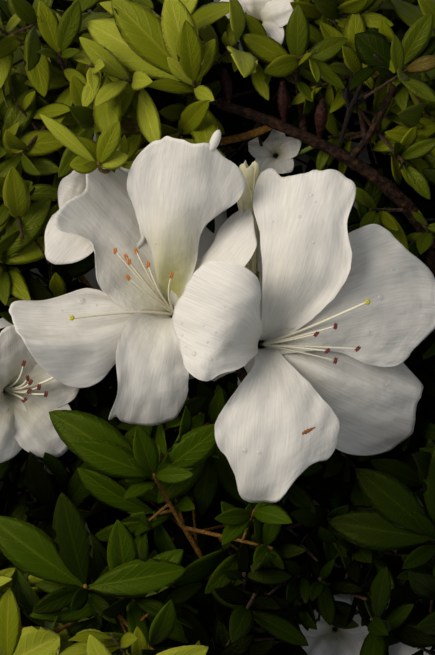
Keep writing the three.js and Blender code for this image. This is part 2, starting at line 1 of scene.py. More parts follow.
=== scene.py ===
import itertools
import json
import math
import bpy
import numpy as np
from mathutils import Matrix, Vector
from mathutils.bvhtree import BVHTree

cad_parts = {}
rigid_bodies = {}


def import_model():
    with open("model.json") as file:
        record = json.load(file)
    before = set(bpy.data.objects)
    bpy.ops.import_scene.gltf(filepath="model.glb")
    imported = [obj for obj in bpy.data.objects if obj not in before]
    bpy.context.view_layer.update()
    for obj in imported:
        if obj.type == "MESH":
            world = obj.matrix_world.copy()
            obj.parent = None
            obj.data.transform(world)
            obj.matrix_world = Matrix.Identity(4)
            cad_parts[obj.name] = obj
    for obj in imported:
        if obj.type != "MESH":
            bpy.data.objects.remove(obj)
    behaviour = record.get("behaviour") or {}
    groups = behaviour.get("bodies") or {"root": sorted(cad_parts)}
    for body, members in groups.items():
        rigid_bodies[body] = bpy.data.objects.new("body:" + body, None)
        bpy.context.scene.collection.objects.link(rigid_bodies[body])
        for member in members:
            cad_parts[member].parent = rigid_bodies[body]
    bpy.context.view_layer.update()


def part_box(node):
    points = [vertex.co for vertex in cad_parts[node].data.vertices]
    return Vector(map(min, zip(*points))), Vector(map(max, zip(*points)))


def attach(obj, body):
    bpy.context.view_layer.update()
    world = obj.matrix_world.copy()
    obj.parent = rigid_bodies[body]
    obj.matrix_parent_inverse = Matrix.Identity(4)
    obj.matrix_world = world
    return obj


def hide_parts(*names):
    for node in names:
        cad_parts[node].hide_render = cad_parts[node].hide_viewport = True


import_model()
print("frame loaded")

mm = 0.001
upward = np.array((0.0, 0.0, 1.0))
goldenTurn = math.radians(137.5)


# Small sums used by every piece

def unit(v):
    return v / np.linalg.norm(v, axis=-1, keepdims=True)


def mixed(low, high, share):
    return low + (high - low) * share


def smooth(x, low, high):
    x = np.clip((x - low) / (high - low), 0, 1)
    return x * x * (3 - 2 * x)


def bezier(points, t):
    # place and direction on a Bezier curve of any number of points
    points = [np.asarray(p, float) for p in points]
    t = np.asarray(t, float)[..., None]
    n = len(points) - 1
    place = sum(math.comb(n, i) * (1 - t) ** (n - i) * t ** i * p for i, p in enumerate(points))
    way = sum(math.comb(n - 1, i) * (1 - t) ** (n - 1 - i) * t ** i * (points[i + 1] - points[i])
              for i in range(n))
    return place, unit(way)


def turned(v, axis, angle):
    angle = np.asarray(angle)[..., None]
    dot = (v * axis).sum(-1, keepdims=True)
    return v * np.cos(angle) + np.cross(axis, v) * np.sin(angle) + axis * dot * (1 - np.cos(angle))


def through(values, x):
    # a smooth curve through evenly spread values, read at x from 0 to 1
    values = np.asarray(values, float)
    last = len(values) - 1
    at = np.clip(x, 0, 1) * last
    low = np.clip(np.floor(at).astype(int), 0, last - 1)
    part = at - low
    padded = np.concatenate([[2 * values[0] - values[1]], values, [2 * values[-1] - values[-2]]])
    a, b, c, d = (padded[low + k] for k in range(4))
    return 0.5 * (2 * b + (c - a) * part + (2 * a - 5 * b + 4 * c - d) * part ** 2
                  + (3 * b - a - 3 * c + d) * part ** 3)


waves = {"count": 6, "closeness": (0.6, 1.5), "crest": 3.5}


def ripple(points, size, seed):
    # smooth repeatable waves in space, from about -1 to 1, with crests about `size` apart
    draw = np.random.default_rng(seed)
    total = np.zeros(points.shape[:-1])
    for _ in range(waves["count"]):
        way = unit(draw.normal(size=points.shape[-1])) * 2 * math.pi / size * draw.uniform(*waves["closeness"])
        total = total + np.sin(points @ way + draw.uniform(0, 2 * math.pi))
    return total / waves["crest"]


# Meshes are gathered as rings of points and finished into one object

def newHeap():
    return {"points": [], "uv": [], "mark": [], "loops": [], "sizes": [], "kinds": [], "count": 0}


def addPoints(heap, points, uv=None, mark=None):
    points = points.reshape(-1, 3)
    first = heap["count"]
    heap["points"].append(points)
    heap["uv"].append(np.zeros((len(points), 2)) if uv is None else uv.reshape(-1, 2))
    heap["mark"].append(np.zeros(len(points)) if mark is None else mark.reshape(-1))
    heap["count"] += len(points)
    return first


def addFaces(heap, faces, kinds):
    heap["loops"].append(faces.reshape(-1))
    heap["sizes"].append(np.full(len(faces), faces.shape[1]))
    heap["kinds"].append(np.broadcast_to(kinds, len(faces)))


def addRings(heap, rings, uv=None, mark=None, kinds=0, capKind=0, capStart=True, capEnd=True):
    # rings of points joined into a skin; `kinds` is the material of each face round a ring
    steps, sides = rings.shape[:2]
    first = addPoints(heap, rings, uv, mark)
    index = first + np.arange(steps * sides).reshape(steps, sides)
    nextSide = np.roll(index, -1, axis=1)
    faces = np.stack([index[:-1], nextSide[:-1], nextSide[1:], index[1:]], -1).reshape(-1, 4)
    addFaces(heap, faces, np.tile(np.broadcast_to(kinds, sides), steps - 1))
    if capStart:
        addFaces(heap, index[:1, ::-1], capKind)
    if capEnd:
        addFaces(heap, index[-1:], capKind)


def addBlade(heap, front, back, uv=None, mark=None, backKind=0):
    # a thin closed blade from the grids of its two sides, which meet in the front's long edges
    steps, columns = front.shape[:2]
    order = list(range(columns)) + list(range(columns - 2, 0, -1))
    rings = np.concatenate([front, back[:, columns - 2:0:-1]], 1)
    kinds = [0] * (columns - 1) + [backKind] * (columns - 1)
    first = heap["count"]
    uv, mark = (None if values is None else values[:, order] for values in (uv, mark))
    addRings(heap, rings, uv, mark, kinds, capStart=False, capEnd=False)
    # each end is closed by a narrow strip that follows its curve
    sides = len(order)
    over = np.arange(1, columns - 2)
    for ring, flipped in ((0, True), (steps - 1, False)):
        near = first + ring * sides
        strip = np.stack([over, over + 1, sides - over - 1, sides - over], -1) + near
        corners = np.array(((0, 1, sides - 1), (columns - 2, columns - 1, columns))) + near
        addFaces(heap, strip[:, ::-1] if flipped else strip, 0)
        addFaces(heap, corners[:, ::-1] if flipped else corners, 0)


def finishPiece(name, heap, materials, slotName, replaced):
    points = (np.concatenate(heap["points"]) + origin) * mm
    loops = np.concatenate(heap["loops"])
    sizes = np.concatenate(heap["sizes"])
    mesh = bpy.data.meshes.new(name)
    mesh.vertices.add(len(points))
    mesh.vertices.foreach_set("co", points.ravel())
    mesh.loops.add(len(loops))
    mesh.loops.foreach_set("vertex_index", loops)
    mesh.polygons.add(len(sizes))
    mesh.polygons.foreach_set("loop_start", np.concatenate([[0], np.cumsum(sizes)[:-1]]))
    mesh.polygons.foreach_set("material_index", np.concatenate(heap["kinds"]).astype(np.int32))
    uvLayer = mesh.uv_layers.new(name="UVMap")
    uvLayer.uv.foreach_set("vector", np.concatenate(heap["uv"])[loops].ravel())
    markLayer = mesh.attributes.new("mark", "FLOAT", "POINT")
    markLayer.data.foreach_set("value", np.concatenate(heap["mark"]))
    mesh.update(calc_edges=True)
    mesh.validate()
    mesh.shade_smooth()
    piece = bpy.data.objects.new(name, mesh)
    bpy.context.scene.collection.objects.link(piece)
    for material in materials:
        mesh.materials.append(material)
    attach(piece, "root")
    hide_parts(*replaced)


def sideReference(start, end):
    # the axis that a line between two places leans towards least
    chord = np.abs(np.asarray(end) - np.asarray(start))
    return np.eye(3)[int(np.argmin(chord))]


def crossing(way):
    # a direction well away from `way`, upward unless it rises steeply
    return upward if abs(way[2]) < 0.9 else np.array((0.0, 1, 0))


def tubeRings(points, t, radius, sides):
    # rings round a curve; radius is a number for each ring, or for each ring and side
    place, way = bezier(points, t)
    side = unit(np.cross(sideReference(points[0], points[-1]), way))
    over = np.cross(side, way)
    turn = np.arange(sides) * 2 * math.pi / sides
    radius = np.asarray(radius, float)
    radius = radius[:, None] if radius.ndim == 1 else radius
    x = (radius * np.sin(turn))[..., None]
    z = (radius * np.cos(turn))[..., None]
    return place[:, None] + side[:, None] * x + over[:, None] * z


# Limbs: each runs from its parent, a share `at` along it, by two bends to its tip, with its end radii

limbs = {
    "main_stem": {"from": (52, -118, 3.6), "bends": ((46, -60, 12), (60, -28, 8)),
                  "tip": (68, 26, 17), "radii": (3.3, 2.2)},
    "bough_top": {"parent": "main_stem", "at": 0.98, "bends": ((58, 46, 26), (30, 58, 36)),
                  "tip": (0, 68, 33), "radii": (1.9, 1.1), "stout": 1.25},
    "bough_top_left": {"parent": "bough_top", "at": 0.8, "bends": ((2, 54, 27), (-20, 54, 20)),
                       "tip": (-42, 65, 27), "radii": (1.2, 0.8)},
    "bough_top_up": {"parent": "bough_top", "at": 0.7, "bends": ((27, 70, 22), (20, 86, 20)),
                     "tip": (22, 98, 20), "radii": (1.2, 0.8)},
    "bough_top_right": {"parent": "bough_top", "at": 0.52, "bends": ((46, 57, 33), (50, 64, 38)),
                        "tip": (53, 73, 42), "radii": (1.2, 0.9)},
    "bough_right": {"parent": "main_stem", "at": 0.86, "bends": ((74, 20, 12), (82, 34, 16)),
                    "tip": (80, 58, 22), "radii": (1.5, 0.9)},
    "bough_blooms": {"parent": "main_stem", "at": 0.34, "bends": ((36, -46, 18), (14, -34, 24)),
                     "tip": (3, -4, 31), "radii": (1.8, 1.4)},
    "bough_left": {"parent": "bough_blooms", "at": 0.62, "bends": ((4, -28, 18), (-24, -28, 12)),
                   "tip": (-52, -26, 14), "radii": (1.2, 0.8)},
    "bough_left_up": {"parent": "bough_left", "at": 0.4, "bends": ((-24, -6, 12), (-38, 10, 10)),
                      "tip": (-60, 36, 16), "radii": (1.1, 0.8)},
    "bough_lower": {"parent": "main_stem", "at": 0.25, "bends": ((32, -78, 22), (12, -80, 27)),
                    "tip": (-4, -71, 31), "radii": (1.6, 1.0)},
    "bough_bottom": {"parent": "main_stem", "at": 0.08, "bends": ((24, -112, 10), (-8, -110, 16)),
                     "tip": (-36, -106, 24), "radii": (1.4, 0.9)},
}
solidSides, stemSteps = 6, 10  # how the frame's own main stem is divided
clearGap = 0.3  # twigs keep this far from blooms and limbs


def limbLine(name):
    limb = limbs[name]
    start = limb.get("from")
    if start is None:
        start = bezier(limbLine(limb["parent"]), limb["at"])[0]
    return [np.asarray(p, float) for p in (start, *limb["bends"], limb["tip"])]


def footOn(row):
    # where a piece leaves its limb
    return bezier(limbLine(row["limb"]), row["at"])[0]


def growsFrom(row):
    # where a piece leaves its limb, and where it ends
    return footOn(row), np.array(row["tip"], float)


# The frame's box starts at the lowest corner of the same stem, so this is where the drawing frame lies in it
stemStations = np.linspace(0, 1, stemSteps + 1)
stemRings = tubeRings(limbLine("main_stem"), stemStations, mixed(*limbs["main_stem"]["radii"], stemStations),
                      solidSides)
origin = np.array(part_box("main_stem")[0]) / mm - stemRings.reshape(-1, 3).min(0)
print("drawing origin in the frame, mm:", np.round(origin, 3))


# Materials

def fromHex(text):
    # sRGB hex to linear colour
    parts = [int(text[i:i + 2], 16) / 255 for i in (1, 3, 5)]
    return tuple(c / 12.92 if c <= 0.04045 else ((c + 0.055) / 1.055) ** 2.4 for c in parts) + (1.0,)


def addNode(tree, kind, values=None, links=None, **settings):
    node = tree.nodes.new("ShaderNode" + kind)
    for name, value in settings.items():
        setattr(node, name, value)
    for socket, value in (values or {}).items():
        node.inputs[socket].default_value = value
    for socket, source in (links or {}).items():
        tree.links.new(source, node.inputs[socket])
    return node


def newMaterial(name):
    material = bpy.data.materials.new(name)
    material.use_nodes = True
    material.node_tree.nodes.clear()
    return material, material.node_tree


def perMetre(size):
    # the noise scale whose features are `size` millimetres across
    return 1 / (size * mm)


# Sockets whose names repeat in Blender: those of Map Range, and of Mix when it mixes colours.
# The inputs of Math and of Mix Shader go by their order, from 0.
fromLow, fromHigh, toLow, toHigh = 1, 2, 3, 4
mixShare, mixLow, mixHigh = 0, 6, 7


def closeMaterial(tree, shader):
    addNode(tree, "OutputMaterial", links={"Surface": shader})


def petalTissue(name, look):
    # A living petal: thin, matt and a little see-through, with fine veins that run from throat to rim.
    # The eye sees soft white shade, faint streaks, and a green-yellow flush down in the throat.
    material, tree = newMaterial(name)
    place = addNode(tree, "TexCoord").outputs["UV"]
    veins = addNode(tree, "Mapping", {"Scale": (1 / look["veinSpacing"], 1 / look["veinLength"], 1)},
                    {"Vector": place})
    streak = addNode(tree, "TexNoise", {"Scale": 1.0, "Detail": 3.0, "Roughness": 0.55},
                     {"Vector": veins.outputs["Vector"]})
    crumple = addNode(tree, "TexNoise", {"Scale": 1 / look["crumple"], "Detail": 2.0}, {"Vector": place})
    mark = addNode(tree, "Attribute", attribute_name="mark")
    line = addNode(tree, "MapRange", {fromLow: 0.22, fromHigh: 0.66, toLow: 0.0, toHigh: 1.0},
                   {"Value": streak.outputs["Fac"]})
    pale = addNode(tree, "Mix", {mixLow: fromHex(look["shade"]), mixHigh: fromHex(look["light"])},
                   {mixShare: line.outputs[0]}, data_type="RGBA")
    flushed = addNode(tree, "Mix", {mixHigh: fromHex(look["flush"])},
                      {mixShare: mark.outputs["Fac"], mixLow: pale.outputs[2]}, data_type="RGBA")
    folds = addNode(tree, "Mapping", {"Scale": (1 / look["foldSpacing"], 1 / look["foldLength"], 1)},
                    {"Vector": place})
    silk = addNode(tree, "TexNoise", {"Scale": 1.0, "Detail": 2.0, "Distortion": 0.3},
                   {"Vector": folds.outputs["Vector"]})
    lowBump = addNode(tree, "Bump", {"Strength": 0.35, "Distance": look["crumpleDepth"] * mm},
                      {"Height": crumple.outputs["Fac"]})
    foldBump = addNode(tree, "Bump", {"Strength": 0.6, "Distance": look["foldDepth"] * mm},
                       {"Height": silk.outputs["Fac"], "Normal": lowBump.outputs["Normal"]})
    bump = addNode(tree, "Bump", {"Strength": 0.6, "Distance": look["veinDepth"] * mm},
                   {"Height": streak.outputs["Fac"], "Normal": foldBump.outputs["Normal"]})
    skin = addNode(tree, "BsdfPrincipled", {"Roughness": 0.5, "IOR": 1.42, "Specular IOR Level": 0.35,
                                            "Sheen Weight": 0.15, "Sheen Roughness": 0.4},
                   {"Base Color": flushed.outputs[2], "Normal": bump.outputs["Normal"]})
    glow = addNode(tree, "BsdfTranslucent", None,
                   {"Color": flushed.outputs[2], "Normal": bump.outputs["Normal"]})
    both = addNode(tree, "MixShader", {0: look["seeThrough"]}, {1: skin.outputs[0], 2: glow.outputs[0]})
    closeMaterial(tree, both.outputs[0])
    return material


def leafTissue(name, look):
    # A living leaf blade: a waxy skin over green flesh, with a midrib and about six pairs of side veins.
    # The eye sees satin highlights broken by the veins, and a warmer green where light comes through.
    material, tree = newMaterial(name)
    place = addNode(tree, "TexCoord").outputs["UV"]
    parts = addNode(tree, "SeparateXYZ", links={"Vector": place})
    aside = addNode(tree, "Math", links={0: parts.outputs["X"]}, operation="ABSOLUTE")
    slant = addNode(tree, "Math", {1: -look["veinSlant"]}, {0: aside.outputs[0], 2: parts.outputs["Y"]},
                    operation="MULTIPLY_ADD")
    turn = addNode(tree, "Math", {1: look["veinPairs"] * 2 * math.pi}, {0: slant.outputs[0]},
                   operation="MULTIPLY")
    wave = addNode(tree, "Math", links={0: turn.outputs[0]}, operation="SINE")
    vein = addNode(tree, "MapRange", {fromLow: 0.55, fromHigh: 1.0, toLow: 0.0, toHigh: 1.0},
                   {"Value": wave.outputs[0]})
    rib = addNode(tree, "MapRange", {fromLow: 0.0, fromHigh: 0.09, toLow: 1.0, toHigh: 0.0},
                  {"Value": aside.outputs[0]})
    lines = addNode(tree, "Math", links={0: vein.outputs[0], 1: rib.outputs[0]}, operation="MAXIMUM")
    solid = addNode(tree, "TexCoord").outputs["Object"]
    grain = addNode(tree, "TexNoise", {"Scale": perMetre(look["grain"]), "Detail": 3.0}, {"Vector": solid})
    low = addNode(tree, "Bump", {"Strength": 0.5, "Distance": 0.2 * mm}, {"Height": grain.outputs["Fac"]})
    ribbed = addNode(tree, "Bump", {"Strength": look["veinStrength"], "Distance": 0.25 * mm},
                     {"Height": lines.outputs[0], "Normal": low.outputs["Normal"]}, invert=look["sunkVeins"])
    drops = addNode(tree, "TexVoronoi", {"Scale": perMetre(look["speck"])}, {"Vector": solid})
    dome = addNode(tree, "MapRange", {fromLow: 0.0, fromHigh: 0.3, toLow: 1.0, toHigh: 0.0},
                   {"Value": drops.outputs["Distance"]})
    wetPlace = addNode(tree, "TexNoise", {"Scale": perMetre(look["wetPatch"])}, {"Vector": solid})
    wet = addNode(tree, "MapRange", {fromLow: 0.56, fromHigh: 0.66, toLow: 0.0, toHigh: 1.0},
                  {"Value": wetPlace.outputs["Fac"]})
    beaded = addNode(tree, "Math", links={0: dome.outputs[0], 1: wet.outputs[0]}, operation="MULTIPLY")
    bump = addNode(tree, "Bump", {"Strength": 0.9, "Distance": 0.3 * mm},
                   {"Height": beaded.outputs[0], "Normal": ribbed.outputs["Normal"]})
    gloss = addNode(tree, "MapRange", {fromLow: 0.3, fromHigh: 0.7, toLow: look["roughness"] - 0.1,
                                       toHigh: look["roughness"] + 0.12},
                    {"Value": grain.outputs["Fac"]})
    margin = addNode(tree, "MapRange", {fromLow: 0.86, fromHigh: 1.0, toLow: 0.0, toHigh: 0.75},
                     {"Value": aside.outputs[0]})
    drawn = addNode(tree, "Math", {1: look["veinTone"]}, {0: vein.outputs[0], 2: margin.outputs[0]},
                    operation="MULTIPLY_ADD")
    pale = addNode(tree, "Math", {1: look["ribTone"]}, {0: rib.outputs[0], 2: drawn.outputs[0]},
                   operation="MULTIPLY_ADD", use_clamp=True)
    tone = addNode(tree, "Mix", {mixLow: fromHex(look["colour"]), mixHigh: fromHex(look["rim"])},
                   {mixShare: pale.outputs[0]}, data_type="RGBA")
    skin = addNode(tree, "BsdfPrincipled", {"IOR": 1.45, "Specular IOR Level": look["shine"],
                                            "Specular Tint": fromHex(look["gleam"]),
                                            "Sheen Weight": look["down"], "Sheen Roughness": 0.35},
                   {"Base Color": tone.outputs[2], "Roughness": gloss.outputs[0],
                    "Normal": bump.outputs["Normal"]})
    glow = addNode(tree, "BsdfTranslucent", {"Color": fromHex(look["glow"])},
                   {"Normal": bump.outputs["Normal"]})
    both = addNode(tree, "MixShader", {0: look["seeThrough"]}, {1: skin.outputs[0], 2: glow.outputs[0]})
    closeMaterial(tree, both.outputs[0])
    return material


def barkTissue(name, look):
    # Azalea bark: thin, dry and finely cracked along the limb. The eye sees dark brown with paler ridges.
    material, tree = newMaterial(name)
    place = addNode(tree, "TexCoord").outputs["Object"]
    flakes = addNode(tree, "TexNoise", {"Scale": perMetre(look["flake"]), "Detail": 6.0, "Roughness": 0.6},
                     {"Vector": place})
    cracks = addNode(tree, "TexVoronoi", {"Scale": perMetre(look["crack"])}, {"Vector": place},
                     feature="DISTANCE_TO_EDGE")
    tone = addNode(tree, "ValToRGB", links={0: flakes.outputs["Fac"]})
    tone.color_ramp.elements[0].position, tone.color_ramp.elements[1].position = 0.42, 0.74
    tone.color_ramp.elements[0].color = fromHex(look["dark"])
    tone.color_ramp.elements[1].color = fromHex(look["pale"])
    low = addNode(tree, "Bump", {"Strength": 0.8, "Distance": 0.5 * mm}, {"Height": flakes.outputs["Fac"]})
    bump = addNode(tree, "Bump", {"Strength": 0.7, "Distance": 0.3 * mm},
                   {"Height": cracks.outputs["Distance"], "Normal": low.outputs["Normal"]})
    skin = addNode(tree, "BsdfPrincipled", {"Roughness": look["roughness"], "Specular IOR Level": 0.25,
                                            "Sheen Weight": look["down"], "Sheen Roughness": 0.3},
                   {"Base Color": tone.outputs["Color"], "Normal": bump.outputs["Normal"]})
    closeMaterial(tree, skin.outputs[0])
    return material


def softTissue(name, colour, roughness, seeThrough=0.0, grain=0.6, depth=0.05):
    # Small fleshy parts, such as filaments, anthers and stigma: one colour with painted shade in the hollows between
    # the pebbles of its skin, so the eye sees a soft, pebbled part
    material, tree = newMaterial(name)
    place = addNode(tree, "TexCoord").outputs["Object"]
    pebble = addNode(tree, "TexNoise", {"Scale": perMetre(grain), "Detail": 2.0}, {"Vector": place})
    # painted shade: the colour at 0.72 of its strength, mixed in where the pebbled skin lies lowest
    pebbleShade = tuple(0.72 * c for c in fromHex(colour)[:3]) + (1,)
    tone = addNode(tree, "Mix", {mixLow: pebbleShade, mixHigh: fromHex(colour)}, {mixShare: pebble.outputs["Fac"]},
                   data_type="RGBA")
    bump = addNode(tree, "Bump", {"Strength": 0.5, "Distance": depth * mm}, {"Height": pebble.outputs["Fac"]})
    skin = addNode(tree, "BsdfPrincipled", {"Roughness": roughness, "Subsurface Weight": seeThrough,
                                            "Subsurface Radius": (mm, 0.6 * mm, 0.3 * mm)},
                   {"Base Color": tone.outputs[2], "Normal": bump.outputs["Normal"]})
    closeMaterial(tree, skin.outputs[0])
    return material


# Sizes are millimetres. A petal's real veins stand closer than 0.4 mm, which is too fine to show, so they are drawn
# at 0.42; its soft folds stand 2 to 3 mm apart.
petalLook = {"light": "#f5f2eb", "shade": "#dfdbd3", "flush": "#c2be70", "veinSpacing": 0.42, "veinLength": 9,
             "veinDepth": 0.08, "foldSpacing": 2.6, "foldLength": 13, "foldDepth": 0.14, "crumple": 4.0,
             "crumpleDepth": 0.8, "seeThrough": 0.3}
creamLook = {**petalLook, "light": "#fffce4", "shade": "#fbf5cc", "seeThrough": 0.4, "flush": "#d3d678"}
# A leaf's skin is grained at 0.7 mm, its real 0.2 mm drawn coarser to show, and rain stands on it in specks of 0.9 mm
# within patches of about 11 mm. `veinPairs` is how many pairs of veins a leaf has, and `veinSlant` the share of its
# length by which they lean towards its tip.
leafLook = {"veinPairs": 6.5, "veinSlant": 0.32, "veinStrength": 0.3, "sunkVeins": True, "veinTone": 0.1,
            "ribTone": 0.55, "grain": 0.7, "roughness": 0.43, "down": 0.02, "seeThrough": 0.22, "speck": 0.9,
            "wetPatch": 11, "shine": 0.42, "gleam": "#d4d678"}
# Kinds of leaf: all but young and old are one leaf green painted in steps from dark to light, in colour, rim,
# underside and glow, for the shade and light where the leaves stand. The two darkest kinds are painted shade and
# bright is painted light, and the dark kinds also shine less. Young and old are the own colours of new and yellowed
# leaves.
leafKinds = {
    "shade": {"colour": "#090d01", "rim": "#0d1203", "glow": "#0d1301", "under": "#080b02", "shine": 0.05,
              "down": 0.0},
    "deep": {"colour": "#182401", "rim": "#2a3604", "glow": "#2c3d02", "under": "#171e06", "shine": 0.14,
             "down": 0.0},
    "lush": {"colour": "#304301", "rim": "#53620a", "glow": "#566c02", "under": "#2c370c", "shine": 0.24,
             "down": 0.0},
    "mid": {"colour": "#444f05", "rim": "#606612", "glow": "#6c7805", "under": "#454c16"},
    "bright": {"colour": "#69710a", "rim": "#908c24", "glow": "#969a0a", "under": "#626822"},
    "young": {"colour": "#8e9526", "rim": "#bcae4c", "glow": "#b6bc2c", "under": "#80863a"},
    "old": {"colour": "#4a3c14", "rim": "#6a5626", "glow": "#685010", "under": "#4c4220"},
}

petalWhite = petalTissue("petal_white", petalLook)
petalCream = petalTissue("petal_cream", creamLook)
leafFaces = {}
for kind, row in leafKinds.items():
    top = leafTissue("leaf_" + kind, {**leafLook, **row})
    under = leafTissue("leaf_under_" + kind, {**leafLook, **row, "colour": row["under"], "sunkVeins": False,
                                              "roughness": 0.6, "down": 0.03})
    leafFaces[kind] = (top, under)
# bark flakes of 1 to 2 mm over cracks of 0.5 to 1 mm; `down` is the bloom of fine hairs on young wood
oldBark = barkTissue("bark_old", {"dark": "#0b0503", "pale": "#4a2d15", "flake": 1.6, "crack": 1.1,
                                  "roughness": 0.85, "down": 0.0})
youngBark = barkTissue("bark_young", {"dark": "#5c3c0c", "pale": "#a07420", "flake": 0.9, "crack": 0.5,
                                      "roughness": 0.6, "down": 0.08})
twigBark = barkTissue("bark_twig", {"dark": "#23150a", "pale": "#54371a", "flake": 0.9, "crack": 0.5,
                                    "roughness": 0.65, "down": 0.15})
budScale = barkTissue("bud_scale", {"dark": "#1e0a05", "pale": "#502112", "flake": 1.0, "crack": 0.8,
                                    "roughness": 0.5, "down": 0.03})
capsuleHusk = barkTissue("capsule_husk", {"dark": "#0e0806", "pale": "#2a1a12", "flake": 0.8, "crack": 0.6,
                                          "roughness": 0.8, "down": 0.05})
cutWood = barkTissue("cut_wood", {"dark": "#a5885a", "pale": "#cdb585", "flake": 0.5, "crack": 0.5,
                                  "roughness": 0.7, "down": 0.0})
filamentSkin = softTissue("filament", "#efe9cf", 0.45, 0.3)
tanPollen = softTissue("anther_tan", "#c87a36", 0.65, 0.0, 0.3, 0.1)
brownPollen = softTissue("anther_brown", "#6e2514", 0.6, 0.0, 0.3, 0.1)
stigmaSkin = softTissue("stigma", "#c9c226", 0.3, 0.2, 0.35, 0.08)
calyxSkin = softTissue("calyx", "#7d9440", 0.5, 0.1, 0.5, 0.08)
scarSkin = softTissue("petal_scar", "#9a5a1e", 0.6, 0.0, 0.7, 0.08)


def dewWater():
    # Rain beads: clear water, so the eye sees the petal through a smooth dome with a bright point of light.
    # They are see-through by alpha, because at this size the bending of light wouldn't show.
    material, tree = newMaterial("dew_water")
    water = addNode(tree, "BsdfPrincipled", {"Base Color": fromHex("#e6e8e4"), "Roughness": 0.03, "IOR": 1.333,
                                             "Alpha": 0.28, "Coat Weight": 1.0, "Coat Roughness": 0.02})
    closeMaterial(tree, water.outputs[0])
    return material


dew = dewWater()
print("materials made")


# Blooms: each has a foot on its limb, a throat where the petals part and the way it faces.
# A petal runs from the throat by a knee to its tip. `half` is half its width, `roll` turns it about its own
# length, `hollow` is how deeply it is dished, `fold` how sharply its middle creases and `blunt` the share of
# its length that its round end takes. `left`, `right` and `end` are shares by which its rim stands in or out,
# `pleats` are soft ridges (place across, lean towards the tip, width, height), `ruffle` is how far its rim waves
# and `flush` how strongly the throat's colour shows. `anthers`, `stigma`, `scar` and `beads` are places in plan.

